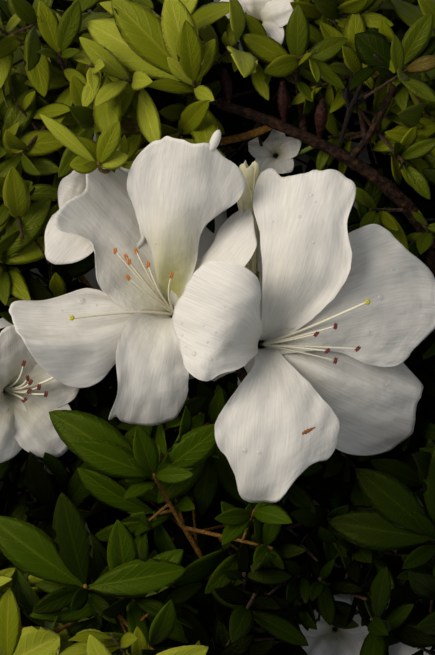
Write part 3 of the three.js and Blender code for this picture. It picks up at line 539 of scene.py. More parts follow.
petalSheet = {"rows": 64, "columns": 48, "thick": 0.34, "rimThick": 0.16, "widest": 0.96}
petalForm = {
    "foot": 2.0,  # half the width at the throat
    # where along its length each of these comes about, as shares
    "widens": (-0.1, 0.62), "opens": (0.2, 0.6), "uncurls": (0.1, 0.5), "untucks": (0.2, 0.55),
    "pleated": (0.12, 0.5), "uneven": (0.2, 0.5),
    "ridgeWidth": 0.3, "ridgeHeight": 0.4, "dish": 0.06, "tuck": 0.45,
    "side": 0.02, "end": 0.008,  # how unevenly a rim runs, as shares of width and length
    "length": 40,  # the length that waves are spread over
    "rimWaves": (9, 4), "ruffles": (13, 5), "ruffleShares": (1, 0.3), "swellSize": 8, "swell": 0.25,
    "flushEnds": (0.2, 0.8), "flushWidth": 0.8,
    "slack": 1.2,  # how much longer its surface is than the line from throat to tip, for the veins' spacing
}
blooms = {
    "bloom_right": {
        "foot": (4.8, -4.6, 31.4), "throat": (13, -5, 50), "facing": (0.3, 0, 0.95),
        "funnel": {"rise": 11, "flare": 4, "mouth": 1.2, "wrap": 0.2},
        "petals": [
            {"tip": (29.1, 46.3, 65.4), "knee": (24.4, 28.4, 73.7), "half": 17.5, "roll": -35, "hollow": -0.19,
             "blunt": 0.3, "ruffle": 0.7, "flush": 0.1,
             "left": (1, 0.85, 0.9, 0.95, 0.72, 1.17), "right": (1, 0.53, 0.45, 0.68, 1.06, 1.29),
             "end": (0.964, 1.003, 0.994, 0.99, 0.965, 0.966, 0.994, 1.146, 0.951),
             "pleats": ((-0.75, -0.23, 0.22, -1.57), (-0.47, 0.09, 0.22, -0.26), (-0.12, -0.04, 0.22, 0.76),
                        (0.12, 0.16, 0.18, 0.9), (0.53, 0.01, 0.21, 0.32))},
            {"tip": (63.6, 11, 51.7), "knee": (46.7, 14.2, 60.3), "half": 21, "roll": 9, "hollow": 0.03,
             "blunt": 0.42, "ruffle": 0.9, "flush": 0.05,
             "left": (1, 0.66, 0.56, 0.95, 1.26, 1.42), "right": (1, 0.45, 0.68, 0.93, 1.13, 1.34),
             "end": (0.982, 0.932, 0.983, 1.004, 1.021, 1.056, 0.956, 0.976, 1.065),
             "pleats": ((-0.48, -0.17, 0.22, 1.23), (-0.13, -0.11, 0.25, 2.15), (0.23, 0.52, 0.26, 2.55),
                        (0.51, 0.1, 0.23, 0.45), (0.67, -0.6, 0.23, -2.57))},
            {"tip": (61.2, -23.7, 38.5), "knee": (41.8, -19.4, 51.8), "half": 15, "roll": 4, "hollow": -0.4,
             "blunt": 0.38, "ruffle": 0.9, "flush": 0.05,
             "left": (1, 1, 1.15, 1.3, 1.45, 1.55), "right": (1, 1.19, 1.23, 1.22, 1.03, 0.72),
             "end": (1.132, 1.151, 1.077, 0.992, 0.946, 0.96, 0.998, 0.99, 1.04),
             "pleats": ((-0.77, 0.1, 0.23, -2.41), (-0.12, 0.08, 0.23, 2.45), (0.05, 0.44, 0.21, 2.81),
                        (0.54, -0.22, 0.2, 1.62), (0.78, -0.01, 0.22, 0.22))},
            {"tip": (12.5, -51.1, 52.4), "knee": (17, -30.8, 73.9), "half": 19, "roll": 17, "hollow": -0.21,
             "blunt": 0.4, "ruffle": 0.8, "flush": 0.05,
             "left": (1, 0.5, 0.66, 0.84, 0.81, 0.47), "right": (1, 0.57, 0.74, 1.06, 0.99, 0.67),
             "end": (1.095, 0.967, 1.029, 1.036, 1.02, 0.994, 0.885, 0.888, 1.077),
             "pleats": ((-0.8, 0.04, 0.22, -1.19), (-0.5, -0.07, 0.22, -0.57), (-0.18, -0.11, 0.22, 0.35),
                        (0.22, 0.34, 0.22, 1.26), (0.5, -0.16, 0.21, 1.29), (0.82, -0.15, 0.23, 0.79))},
            {"tip": (-16.7, 7.9, 61), "knee": (7.5, -3.3, 94.7), "half": 20, "roll": -9, "hollow": 0.05,
             "blunt": 0.42, "ruffle": 0.6, "flush": 0.05,
             "left": (1, 0.3, 0.35, 0.85, 1, 1.2), "right": (1, 0.4, 0.6, 0.8, 0.9, 0.75),
             "end": (1.031, 0.993, 0.947, 0.928, 0.939, 0.967, 0.951, 0.981, 0.993),
             "pleats": ((-0.77, -0.02, 0.23, 0.41), (-0.48, -0.31, 0.21, 0.57), (-0.03, 0.06, 0.26, -0.88),
                        (0.26, 0.21, 0.29, -0.88), (0.43, 0.21, 0.25, -0.88), (0.81, -0.66, 0.25, -0.88))},
        ],
        "anthers": ((28.7, -1.9), (34.2, 0.4), (31.9, -6.8), (34.5, -9.7), (40.9, -6.2)),
        "stigma": (43.5, 7.4), "pollen": "brown",
        "scar": ((24.4, -30.8), (28.4, -28.8), 0.55),
        "beads": ((-10.2, 1.3, 0.5), (-10.2, -2.1, 0.6), (-6.7, -7.5, 0.8), (-4.1, 0.5, 0.45),
                  (-3.0, -4.1, 0.55), (-0.7, -1.3, 0.5), (23.5, 31.9, 0.6), (28.1, 36.2, 0.5),
                  (27, 38.2, 0.5), (16, 30.7, 0.45), (27.5, 24.4, 0.5), (47.5, 8.8, 0.9), (44, -1.3, 0.8),
                  (51, 16.9, 0.5), (7.9, -35.7, 0.8), (12, -36.3, 0.6), (8.2, -10, 0.5), (12.9, 13.1, 0.6),
                  (50.2, -16.9, 0.5), (-9, -5.5, 0.4), (2, 6, 0.35), (-2, -9, 0.5), (38, 26, 0.35)),
    },
    "bloom_left": {
        "foot": (0.8, -2.6, 31.4), "throat": (-13, 4, 42), "facing": (-0.3, 0.2, 0.93),
        "funnel": {"rise": 11, "flare": 4, "mouth": 1.2, "wrap": 0.2},
        "petals": [
            {"tip": (-7.9, 54.2, 72.5), "knee": (-10.2, 33.8, 57), "half": 17.5, "roll": 14, "hollow": -0.05,
             "blunt": 0.34, "ruffle": 0.6, "flush": 1.0,
             "left": (1, 0.52, 0.45, 0.37, 1.04, 1.61), "right": (1, 0.45, 0.45, 0.78, 1.06, 0.76),
             "end": (1.058, 1.017, 1.011, 1.039, 0.999, 1.015, 1.034, 1.041, 1.001),
             "pleats": ((-0.52, -0.06, 0.23, -0.47), (-0.03, -0.05, 0.22, -0.29), (0.5, 0, 0.22, -0.15),
                        (0.98, 0.06, 0.19, -0.85), (-0.02, -0.9, 0.6, 2.6), (0.29, -0.72, 0.38, 2.04))},
            {"tip": (-42.6, 39.5, 59.5), "knee": (-26, 24.4, 44.8), "half": 16, "roll": 35, "hollow": -0.25,
             "blunt": 0.34, "ruffle": 0.8, "flush": 0.35,
             "left": (1, 1.07, 1.2, 1.29, 1.31, 1.24), "right": (1, 1.21, 0.92, 0.8, 0.43, 0.95),
             "end": (1.116, 1.042, 1.044, 0.966, 0.969, 0.997, 1.03, 1.082, 1.176),
             "pleats": ((-0.47, 0.01, 0.22, -0.24), (-0.18, -0.04, 0.22, -0.23), (0.18, 0.05, 0.22, -1.07),
                        (0.43, -0.01, 0.23, -0.99), (0.74, -0.15, 0.22, -0.59))},
            {"tip": (-60.8, 1.9, 56.9), "knee": (-40.8, -1.2, 48), "half": 14.5, "roll": 7, "hollow": -0.6,
             "blunt": 0.4, "ruffle": 0.8, "flush": 0.1,
             "left": (1, 0.45, 0.54, 0.85, 0.63, 0.51), "right": (1, 0.45, 0.82, 1.32, 1.48, 1.52),
             "end": (1.014, 1.041, 1.039, 1.019, 0.993, 1.015, 1.05, 1.002, 0.983),
             "pleats": ((-0.43, -0.23, 0.23, 1.64), (-0.08, 0.34, 0.23, 1.71), (0.29, 0.48, 0.22, 2.68),
                        (0.51, -0.03, 0.22, 2.88), (0.79, -0.51, 0.28, 2.82))},
            {"tip": (-23, -28.9, 45.7), "knee": (-19.9, -10.4, 66.3), "half": 11.5, "roll": -35, "hollow": 0.02,
             "blunt": 0.26, "ruffle": 0.5, "flush": 0.1,
             "left": (1, 1.3, 1.13, 0.95, 0.73, 0.98), "right": (1, 0.75, 0.91, 1.04, 1.11, 1.34),
             "end": (1.183, 1.025, 1.002, 0.99, 0.995, 1.003, 1.029, 1.057, 1.05),
             "pleats": ((-0.72, -0.05, 0.21, -0.3), (-0.15, 0.01, 0.22, 0.34), (0.17, 0.03, 0.22, 0.99),
                        (0.45, 0.24, 0.24, 1.14), (0.75, 0.12, 0.2, 0.7))},
            {"tip": (11, 34, 56), "knee": (2, 20, 59), "half": 12, "roll": -18,
             "hollow": 0.2, "fold": 0.1, "blunt": 0.34, "ruffle": 0.5, "flush": 0.3,
             "left": (1, 0.9, 0.8, 0.8, 0.85, 0.9), "right": (1, 0.6, 0.45, 0.36, 0.6, 0.78),
             "end": (1.006, 0.977, 0.942, 0.944, 0.979, 1.019, 0.98, 0.984, 0.988)},
        ],
        "anthers": ((-30.1, 22.5), (-26.9, 20.8), (-26.0, 19.3), (-24.0, 22.5), (-20.5, 18.5), (-26.3, 14.7),
                    (-13.5, 15.3)),
        "stigma": (-42.6, 2.8), "pollen": "tan",
        "curl": ((-1.9, 50.2), (0.5, 56.2), 1.4),
        "beads": ((-40.5, 8, 1.2), (-36, 6.5, 0.6), (-18, 24.6, 0.4), (-46, 5, 0.5)),
    },
}


def bloomPose(bloom):
    return np.array(bloom["throat"], float), unit(np.array(bloom["facing"], float))


def petalPoint(bloom, shape, t, across, lift=0.0):
    # places on a petal's skin, at shares t along it and from -1 to 1 across it
    t, across = np.broadcast_arrays(np.asarray(t, float), np.asarray(across, float))
    funnel = bloom["funnel"]
    edge = np.sqrt(np.clip(1 - across ** 2, 0, 1))
    along = t * (1 - shape["blunt"] * (1 - edge))
    along = along * (1 + (through(shape.get("end", (1, 1)), (across + 1) / 2) - 1) * t ** 3)
    throat, facing = bloomPose(bloom)
    out = np.array(shape["tip"]) - throat
    out = unit(out - facing * out.dot(facing))
    spine = (throat + out * funnel["mouth"], throat + facing * funnel["rise"] + out * funnel["flare"],
             shape["knee"], shape["tip"])
    tangent = bezier(spine, along)[1]
    opened = smooth(along, *petalForm["opens"])
    roll = np.radians(shape["roll"]) * opened
    side = unit(np.cross(facing, out)) * np.ones_like(tangent)
    normal = unit(np.cross(tangent, side))
    side, normal = turned(side, tangent, roll), turned(normal, tangent, roll)
    rim = np.where(across < 0, through(shape.get("left", (1, 1)), along),
                   through(shape.get("right", (1, 1)), along))
    foot = bloom.get("petalFoot", petalForm["foot"])
    half = mixed(foot, shape["half"], smooth(along, *petalForm["widens"])) * (1 + (rim - 1) * np.abs(across))
    seed = int(shape["half"] * 100) % 97
    # the rim runs a little unevenly
    around = np.stack([across * shape["half"], t * petalForm["length"]], -1)
    coarse, fine = petalForm["rimWaves"]
    uneven = ripple(around, coarse, seed) + 0.5 * ripple(around, fine, seed + 3)
    half = half * (1 + petalForm["side"] * uneven * np.abs(across) ** 4 * smooth(t, *petalForm["uneven"]))
    point = bezier(spine, along * (1 + petalForm["end"] * uneven * t ** 6))[0]
    curl = funnel["wrap"] * (1 - smooth(along, *petalForm["uncurls"])) + shape["hollow"] * petalForm["dish"] + 1e-4
    sideways = np.sin(half * across * curl) / curl
    dish = (1 - np.cos(half * across * curl)) / curl
    ridge = np.exp(-(across / petalForm["ridgeWidth"]) ** 2) * opened
    height = shape.get("fold", 0) * half * petalForm["ridgeHeight"] * ridge
    for middle, lean, width, pleat in shape.get("pleats", ()):
        aside = (across - middle - lean * (along - 0.5)) / width
        height = height + pleat * np.exp(-aside ** 2) * smooth(along, *petalForm["pleated"])
    # the rim ruffles, and each petal's left edge tucks under its neighbour's right edge down in the funnel
    place = np.stack([across * half, along * petalForm["length"]], -1)
    rimward = np.clip(np.maximum(np.abs(across) ** 3, t ** 5), 0, 1) * opened
    for i, (size, part) in enumerate(zip(petalForm["ruffles"], petalForm["ruffleShares"])):
        height = height + shape["ruffle"] * part * rimward * ripple(place, size, seed + 5 + i)
    height = height + petalForm["swell"] * opened * ripple(place, petalForm["swellSize"], seed + 7)
    height = height + across * petalForm["tuck"] * (1 - smooth(along, *petalForm["untucks"]))
    return point + side * sideways[..., None] + normal * (height + dish + lift)[..., None]


def addPetal(heap, bloom, shape, sheet):
    t = np.linspace(0, 1, sheet["rows"] + 1)[:, None]
    across = np.sin(np.linspace(-sheet["widest"], sheet["widest"], sheet["columns"] + 1) * math.pi / 2)[None, :]
    front = petalPoint(bloom, shape, t, across)
    rimward = np.maximum(np.abs(across) ** 4, t ** 8)
    thick = mixed(sheet["thick"], sheet["rimThick"], rimward)
    back = petalPoint(bloom, shape, t, across, -thick)
    length = np.linalg.norm(np.asarray(shape["tip"], float) - np.asarray(bloom["throat"], float))
    uv = np.stack(np.broadcast_arrays(across * shape["half"], t * length * petalForm["slack"]), -1)
    flush = shape.get("flush", 0) * (1 - smooth(t, *petalForm["flushEnds"])) \
        * np.exp(-(across / petalForm["flushWidth"]) ** 2)
    addBlade(heap, front, back, uv, np.broadcast_to(flush, front.shape[:2]))


stalk = {"radii": (1.0, 2.9), "widens": (0.3, 1), "bend": 0.6, "overlap": 1.5, "rings": 14, "sides": 16}


def addStalk(heap, row, foot):
    # the green stalk and outer tube of a bloom, open where the petals leave it
    throat, facing = bloomPose(row)
    bend = throat - facing * np.linalg.norm(foot - throat) * stalk["bend"]
    t = np.linspace(0, 1, stalk["rings"])
    radius = mixed(*stalk["radii"], smooth(t, *stalk["widens"])) * row.get("stalkScale", 1)
    addRings(heap, tubeRings((foot, bend, throat + facing * stalk["overlap"]), t, radius, stalk["sides"]),
             capEnd=False)


def addOval(heap, centre, way, length, radius, sides=10, steps=7):
    t = np.linspace(0, 1, steps)
    swell = np.sqrt(np.clip(1 - (2 * t - 1) ** 2, 0.02, 1)) * radius
    ends = (centre - way * length / 2, centre, centre + way * length / 2)
    addRings(heap, tubeRings(ends, t, swell, sides))


aboveAll = 200


def surfaceBelow(tree, x, y):
    # the highest point of a gathered surface at a place in plan, with the way that it faces
    hit, facing, *_ = tree.ray_cast(Vector((x, y, aboveAll)), Vector((0, 0, -1)))
    if hit is None:
        return None, None
    facing = np.array(facing)
    return np.array(hit), facing if facing[2] > 0 else -facing


def heapTree(heap):
    points = np.concatenate(heap["points"])
    faces, at = [], 0
    loops = np.concatenate(heap["loops"])
    for size in np.concatenate(heap["sizes"]):
        faces.append(loops[at:at + size].tolist())
        at += size
    return BVHTree.FromPolygons(points.tolist(), faces)


# `besides` is how far over the throat a thread ends where no petal lies below it
stamen = {"thick": 0.34, "thin": 0.24, "over": 4.0, "stagger": 0.8, "besides": 12, "rings": 18, "sides": 8,
          "path": (7, 6, 0.66, 3.2), "antherLength": 2.1, "antherRadius": 0.33, "antherApart": 0.24,
          "tilts": ((0.3, 0.8, 0.1), (-0.3, 0.8, 0.1))}
style = {"thick": 0.4, "over": 5.0, "path": (9, 8, 0.7, 2.5), "lobes": 5, "lobeTurn": 1.2566, "lobeApart": 0.32,
         "lobeLength": 1.1, "lobeRadius": 0.527}


def threadLine(bloom, tree, x, y, over, path):
    # a thread rises out of the throat, leans out and ends over the petal that lies below its place in plan
    throat, facing = bloomPose(bloom)
    below = surfaceBelow(tree, x, y)[0]
    end = np.array((x, y, (throat[2] + stamen["besides"] if below is None else below[2]) + over))
    out = unit(end - throat)
    rise, lean, bend, arch = path
    return (throat - facing * 1, throat + facing * rise + out * lean, mixed(throat, end, bend) + facing * arch, end)


def addStamens(threads, pollens, stigmas, bloom, tree):
    t = np.linspace(0, 1, stamen["rings"])
    for i, (x, y) in enumerate(bloom["anthers"]):
        spine = threadLine(bloom, tree, x, y, stamen["over"] + (i % 3) * stamen["stagger"], stamen["path"])
        addRings(threads, tubeRings(spine, t, mixed(stamen["thick"], stamen["thin"], t), stamen["sides"]))
        # two pollen sacs side by side; the anthers tilt this way and that by turns
        way = unit(bezier(spine, np.array([1.0]))[1][0] * 0.5 + np.array(stamen["tilts"][i % 2]))
        for apart in (-stamen["antherApart"], stamen["antherApart"]):
            aside = unit(np.cross(way, upward)) * apart
            addOval(pollens, spine[-1] + aside, way, stamen["antherLength"], stamen["antherRadius"])
    spine = threadLine(bloom, tree, *bloom["stigma"], style["over"], style["path"])
    addRings(threads, tubeRings(spine, t, np.full(len(t), style["thick"]), stamen["sides"]))
    for lobe in range(style["lobes"]):
        turn = lobe * style["lobeTurn"]
        aside = np.array((math.cos(turn), math.sin(turn), 0)) * style["lobeApart"]
        addOval(stigmas, spine[-1] + aside, upward, style["lobeLength"], style["lobeRadius"])


bead = {"rings": 8, "sides": 14, "sunk": -0.25, "flat": 0.62, "crown": 0.02}


def addBead(heap, point, facing, radius):
    # a drop that has spread a little: a flattened dome whose foot is sunk into the petal
    side = unit(np.cross(facing, (0.3, 1, 0.2)))
    over = np.cross(facing, side)
    angle = np.linspace(bead["sunk"], 1, bead["rings"]) * math.pi / 2
    turn = np.arange(bead["sides"]) * 2 * math.pi / bead["sides"]
    out = np.cos(angle)[:, None] * radius
    out[-1] = radius * bead["crown"]
    rise = (np.sin(angle) * radius * bead["flat"])[:, None, None] * facing
    rings = point + rise + (out * np.cos(turn))[..., None] * side + (out * np.sin(turn))[..., None] * over
    addRings(heap, rings)


scar = {"rows": 14, "across": (-1, -0.5, 0, 0.5, 1), "lift": 0.09, "edgeDrop": 0.05, "thick": 0.12,
        "ragged": (0.3, 2.3), "ends": (0.04, 0.92), "round": 0.7}


def addScar(heap, tree, start, end, half):
    # a dry streak: a thin ragged lens that lies on the petal
    aside = unit(np.array((start[1] - end[1], end[0] - start[0])))
    depth, step = scar["ragged"]
    first, run = scar["ends"]
    grid = []
    for i, along in enumerate(np.linspace(0, 1, scar["rows"])):
        wide = half * math.sin(math.pi * (first + run * along) ** scar["round"]) * (1 + depth * math.sin(i * step))
        row = []
        for u in scar["across"]:
            x, y = mixed(np.array(start), np.array(end), along) + aside * wide * u
            point, facing = surfaceBelow(tree, x, y)
            row.append(point + facing * (scar["lift"] - scar["edgeDrop"] * abs(u)))
        grid.append(row)
    front = np.array(grid)
    addBlade(heap, front, front - upward * scar["thick"])


obstacles = newHeap()  # what leaves and twigs keep clear of


def addObstacle(heap):
    first = addPoints(obstacles, np.concatenate(heap["points"]))
    obstacles["loops"].append(np.concatenate(heap["loops"]) + first)
    obstacles["sizes"].append(np.concatenate(heap["sizes"]))
    obstacles["kinds"].append(np.concatenate(heap["kinds"]))


def finishBloom(name, bloom, heap, foot, skin, slotName):
    stalkHeap = newHeap()
    addStalk(stalkHeap, bloom, foot)
    addObstacle(heap)
    addObstacle(stalkHeap)
    finishPiece(name + "_petals", heap, [skin], slotName, [name])
    finishPiece(name + "_tube", stalkHeap, [calyxSkin], slotName, [name])


knob = {"rise": 1.2, "sides": 14, "steps": 12}
threads, stigmas, beads = newHeap(), newHeap(), newHeap()
pollens = {"tan": newHeap(), "brown": newHeap()}
for name, bloom in blooms.items():
    heap = newHeap()
    for shape in bloom["petals"]:
        addPetal(heap, bloom, shape, petalSheet)
    tree = heapTree(heap)
    addStamens(threads, pollens[bloom["pollen"]], stigmas, bloom, tree)
    for x, y, radius in bloom["beads"]:
        point, facing = surfaceBelow(tree, x, y)
        if point is not None:
            addBead(beads, point, facing, radius)
    if "curl" in bloom:
        # a corner of the rim rolled up into a small white knob
        start, end, radius = bloom["curl"]
        foot = surfaceBelow(tree, *start)[0]
        out = np.array((end[0] - start[0], end[1] - start[1], knob["rise"]))
        addOval(heap, foot + out * 0.5, unit(out), np.linalg.norm(out), radius, knob["sides"], knob["steps"])
    if "scar" in bloom:
        scarHeap = newHeap()
        addScar(scarHeap, tree, *bloom["scar"])
        finishPiece(name + "_scar", scarHeap, [scarSkin], "petal", [])
    finishBloom(name, bloom, heap, np.array(bloom["foot"], float), petalWhite, "petal")
print("large blooms made")


# Smaller blooms behind: five petals round a throat; `reach` is a petal's length, `open` how far they spread,
# `belly` and `heel` how wide and how far up a closed one swells, `cup` and `furl` how its petals wrap and
# overlap, `shares` how long each petal is beside the others

smallSheet = {"rows": 26, "columns": 18, "thick": 0.34, "rimThick": 0.16, "widest": 0.96}
smallForm = {"petals": 5, "closedBelow": 30, "half": (0.36, 0.13), "halfVaries": (0.94, 1.04), "tip": 0.97,
             "heel": 1.12, "belly": 0.5, "rise": 0.75, "flare": 0.12, "mouth": 0.8, "wrap": 0.3, "roll": 4,
             "hollow": (-0.1, 0.25), "ends": (0.95, 1.02), "blunt": 0.4, "pleat": (0, 0.2, 0.8), "pleatPlace": 0.5,
             "fold": 0.15, "ruffle": 0.5, "flush": 0.4, "petalFoot": 1.6, "stalkScale": 0.7}
smallBlooms = {
    "bloom_half_open": {"limb": "bough_blooms", "at": 0.97, "throat": (10.5, 15, 45), "facing": (-0.03, 0.94, 0.35),
                        "reach": 36, "open": 3.2, "belly": 1.9, "heel": 0.66, "cream": True, "blunt": 0.75,
                        "cup": 3.2, "furl": 14},
    "bloom_upper_left": {"limb": "bough_left_up", "at": 0.72, "throat": (-34.7, 37, 32),
                         "facing": (-0.1, 0.1, 0.98), "reach": 24, "open": 62,
                         "shares": (1.05, 0.6, 1.1, 1, 1)},
    "bloom_left_edge": {"limb": "bough_left", "at": 0.96, "throat": (-65, -19, 30),
                        "facing": (0.5, -0.12, 0.86), "reach": 27, "open": 62,
                        "anthers": ((-57.8, -10.7), (-56.9, -15.2), (-56, -16.4), (-53.6, -17.9),
                                    (-56.6, -19.1), (-51.5, -20), (-58.1, -21.8)), "stigma": (-47, -14)},
    "bloom_top": {"limb": "bough_top_up", "at": 0.75, "throat": (13, 93, 27),
                  "facing": (-0.2, 0.1, 0.97), "reach": 15, "open": 62},
    "bloom_behind": {"limb": "bough_top", "at": 0.64, "throat": (18, 53, 19),
                     "facing": (-0.1, 0.2, 0.97), "reach": 10, "open": 62},
    "bloom_low_right": {"limb": "bough_bottom", "at": 0.22, "throat": (37, -95, 5),
                        "facing": (-0.1, 0.1, 0.98), "reach": 16, "open": 68},
}


def smallPetals(row, draw):
    # the petals of a smaller bloom, with the bloom's own narrower funnel
    throat, facing = bloomPose(row)
    side = unit(np.cross(facing, crossing(facing)))
    other = np.cross(side, facing)
    form = {**smallForm, **row}
    width = row["reach"] * math.sin(math.radians(row["open"]))
    depth = row["reach"] * math.cos(math.radians(row["open"]))
    funnel = {"rise": depth * form["rise"], "flare": width * form["flare"], "mouth": form["mouth"],
              "wrap": form["wrap"]}
    petals = []
    for i, share in enumerate(row.get("shares", (1,) * form["petals"])):
        turn = i * 2 * math.pi / form["petals"]
        out = side * math.sin(turn) + other * math.cos(turn)
        tip = throat + facing * depth + out * width * share * form["tip"]
        knee = throat + facing * depth * form["heel"] + out * width * share * form["belly"]
        half = mixed(*form["half"], row["open"] < form["closedBelow"]) * row["reach"] \
            * draw.uniform(*form["halfVaries"])
        roll = row.get("furl", 0) + draw.uniform(-form["roll"], form["roll"])
        hollow = row.get("cup", 0) + draw.uniform(*form["hollow"])
        ends = draw.uniform(*form["ends"], 6)
        pleat = (draw.uniform(-form["pleatPlace"], form["pleatPlace"]), *form["pleat"])
        petals.append({"tip": tip, "knee": knee, "half": half, "roll": roll, "hollow": hollow, "end": ends,
                       "pleats": (pleat,), **{key: form[key] for key in ("fold", "blunt", "ruffle", "flush")}})
    return {**form, "funnel": funnel, "petals": petals}


draw = np.random.default_rng(5)
for name, row in smallBlooms.items():
    bloom = smallPetals(row, draw)
    heap = newHeap()
    for shape in bloom["petals"]:
        addPetal(heap, bloom, shape, smallSheet)
    if "anthers" in row:
        addStamens(threads, pollens["brown"], stigmas, bloom, heapTree(heap))
    skin, slotName = (petalCream, "cream_petal") if row.get("cream") else (petalWhite, "petal")
    finishBloom(name, bloom, heap, footOn(row), skin, slotName)
finishPiece("stamen_threads", threads, [filamentSkin], "cream_petal", [])
finishPiece("anthers_tan", pollens["tan"], [tanPollen], "petal", [])
finishPiece("anthers_brown", pollens["brown"], [brownPollen], "petal", [])
finishPiece("stigmas", stigmas, [stigmaSkin], "cream_petal", [])
finishPiece("rain_beads", beads, [dew], "petal", [])
print("small blooms made")


# Limbs with bark relief: ridges run along them, and rings of old leaf scars stand a few millimetres apart

bark = {"sides": 24, "ringSpacing": 0.6, "ridge": 0.12, "ridgeSize": 1.6, "fineRidge": 0.7, "fineSize": 0.7,
        "girth": 2.2, "stretch": 9,  # ridges are spread over this girth and drawn out along the limb
        "scar": 0.15, "scarSpacing": 7.0, "scarWidth": 0.5, "scarShift": 1.7, "scarStart": 2,
        "scarFloor": 0.6, "scarSway": 0.4, "scarLean": 9}  # how a scar swells and fades round the limb
youngLimbs = {"bough_left_up", "bough_bottom", "bough_top_left"}
footDepth = 0.7  # a bough's first ring stands at this share of its parent's radius


def limbRings(name, seed):
    line = limbLine(name)
    thick, thin = np.array(limbs[name]["radii"]) * limbs[name].get("stout", 1)
    length = sum(np.linalg.norm(np.diff(bezier(line, np.linspace(0, 1, 60))[0], axis=0), axis=1))
    t = np.linspace(0, 1, int(length / bark["ringSpacing"]))
    turn = np.arange(bark["sides"]) * 2 * math.pi / bark["sides"]
    place = np.stack(np.broadcast_arrays(np.cos(turn) * bark["girth"], np.sin(turn) * bark["girth"],
                                         t[:, None] * length / bark["stretch"]), -1)
    relief = bark["ridge"] * ripple(place, bark["ridgeSize"], seed) \
        + bark["ridge"] * bark["fineRidge"] * ripple(place, bark["fineSize"], seed + 40)
    pastScar = np.mod(t * length + seed * bark["scarShift"], bark["scarSpacing"]) - bark["scarStart"]
    scars = np.exp(-(pastScar / bark["scarWidth"]) ** 2)[:, None]
    sway = np.sin(turn + seed + t[:, None] * bark["scarLean"])
    relief = relief + bark["scar"] * scars * (bark["scarFloor"] + bark["scarSway"] * sway)
    return tubeRings(line, t, mixed(thick, thin, t)[:, None] * (1 + relief), bark["sides"])


for seed, (name, limb) in enumerate(limbs.items()):
    heap = newHeap()
    rings = limbRings(name, seed)
    parent = limb.get("parent")
    if parent:
        # the foot of a bough starts just under its parent's skin
        parentPath = bezier(limbLine(parent), np.linspace(0, 1, 300))[0]
        apart = np.linalg.norm(rings.mean(1)[:, None] - parentPath[None], axis=-1).min(1)
        rings = rings[int(np.argmax(apart > mixed(*limbs[parent]["radii"], limb["at"]) * footDepth)):]
    addRings(heap, rings, capKind=0 if parent else 1)
    addObstacle(heap)
    finishPiece(name + "_bark", heap, [youngBark if name in youngLimbs else oldBark, cutWood], "bark", [name])
print("limbs made")


# Buds: a core wrapped in pointed scales, and the split husk of last year's seed capsule

buds = {
    "bud_left": {"limb": "bough_top", "at": 0.96, "tip": (2, 78, 36), "radius": 1.9},
    "bud_middle": {"limb": "bough_top", "at": 0.77, "tip": (19.5, 74, 39), "radius": 1.9},
    "bud_right": {"limb": "bough_top", "at": 0.64, "tip": (31.5, 69, 40), "radius": 2.1},
}
budForm = {"stalk": 0.7, "swell": 0.9, "from": 0.12, "to": 1.04, "plump": 0.75, "start": 0.08, "rings": 20,
           "sides": 16}
budScales = {"count": 14, "lowest": 0.2, "climb": 0.5, "end": 0.99, "length": 0.7, "halfTurn": 0.95, "point": 1.6,
             "stand": 0.05, "lift": 0.12, "edgeDrop": 0.06, "thick": 0.09, "rows": 9, "columns": 7}


def budRadius(row, t):
    swell = np.sin(math.pi * smooth(t, budForm["from"], budForm["to"])) ** budForm["plump"]
    return mixed(budForm["stalk"], row["radius"] * budForm["swell"], swell)


def axes(foot, tip):
    way = unit(tip - foot)
    side = unit(np.cross(sideReference(foot, tip), way))
    return way, side, np.cross(side, way)


def addBud(heap, row):
    foot, tip = growsFrom(row)
    t = np.linspace(budForm["start"], 1, budForm["rings"])
    addRings(heap, tubeRings((foot, tip), t, budRadius(row, t), budForm["sides"]))
    _, side, over = axes(foot, tip)
    u = np.linspace(-1, 1, budScales["columns"])[None, :]
    s = np.linspace(0, 1, budScales["rows"])[:, None]
    for i in range(budScales["count"]):
        lowest = budScales["lowest"] + budScales["climb"] * i / budScales["count"]
        at = lowest + (budScales["end"] - lowest) * budScales["length"] * s
        width = budScales["halfTurn"] * np.sqrt(np.clip(1 - s ** budScales["point"], 0.01, 1))
        turn = i * goldenTurn + u * width
        radius = budRadius(row, at) + budScales["stand"] + budScales["lift"] * s ** 2 \
            - budScales["edgeDrop"] * u ** 2
        place = foot + (tip - foot) * at[..., None]
        out = side * np.cos(turn)[..., None] + over * np.sin(turn)[..., None]
        addBlade(heap, place + out * radius[..., None], place + out * (radius - budScales["thick"])[..., None])


for name, row in buds.items():
    heap = newHeap()
    addBud(heap, row)
    addObstacle(heap)
    finishPiece(name + "_scales", heap, [budScale], "bud_scale", [name])

capsule = {"limb": "bough_top", "at": 0.57, "tip": (42, 73, 44), "neck": 0.74, "stalk": (0.55, 1.3), "stalkBend": 0.2,
           "stalkRings": 10, "stalkSides": 10, "valves": 7, "valve": 0.95, "valveRings": 9, "valveSides": 7,
           "valveBend": 0.3, "valveFoot": 1.0, "spread": (0.8, 3.4, 4.4)}


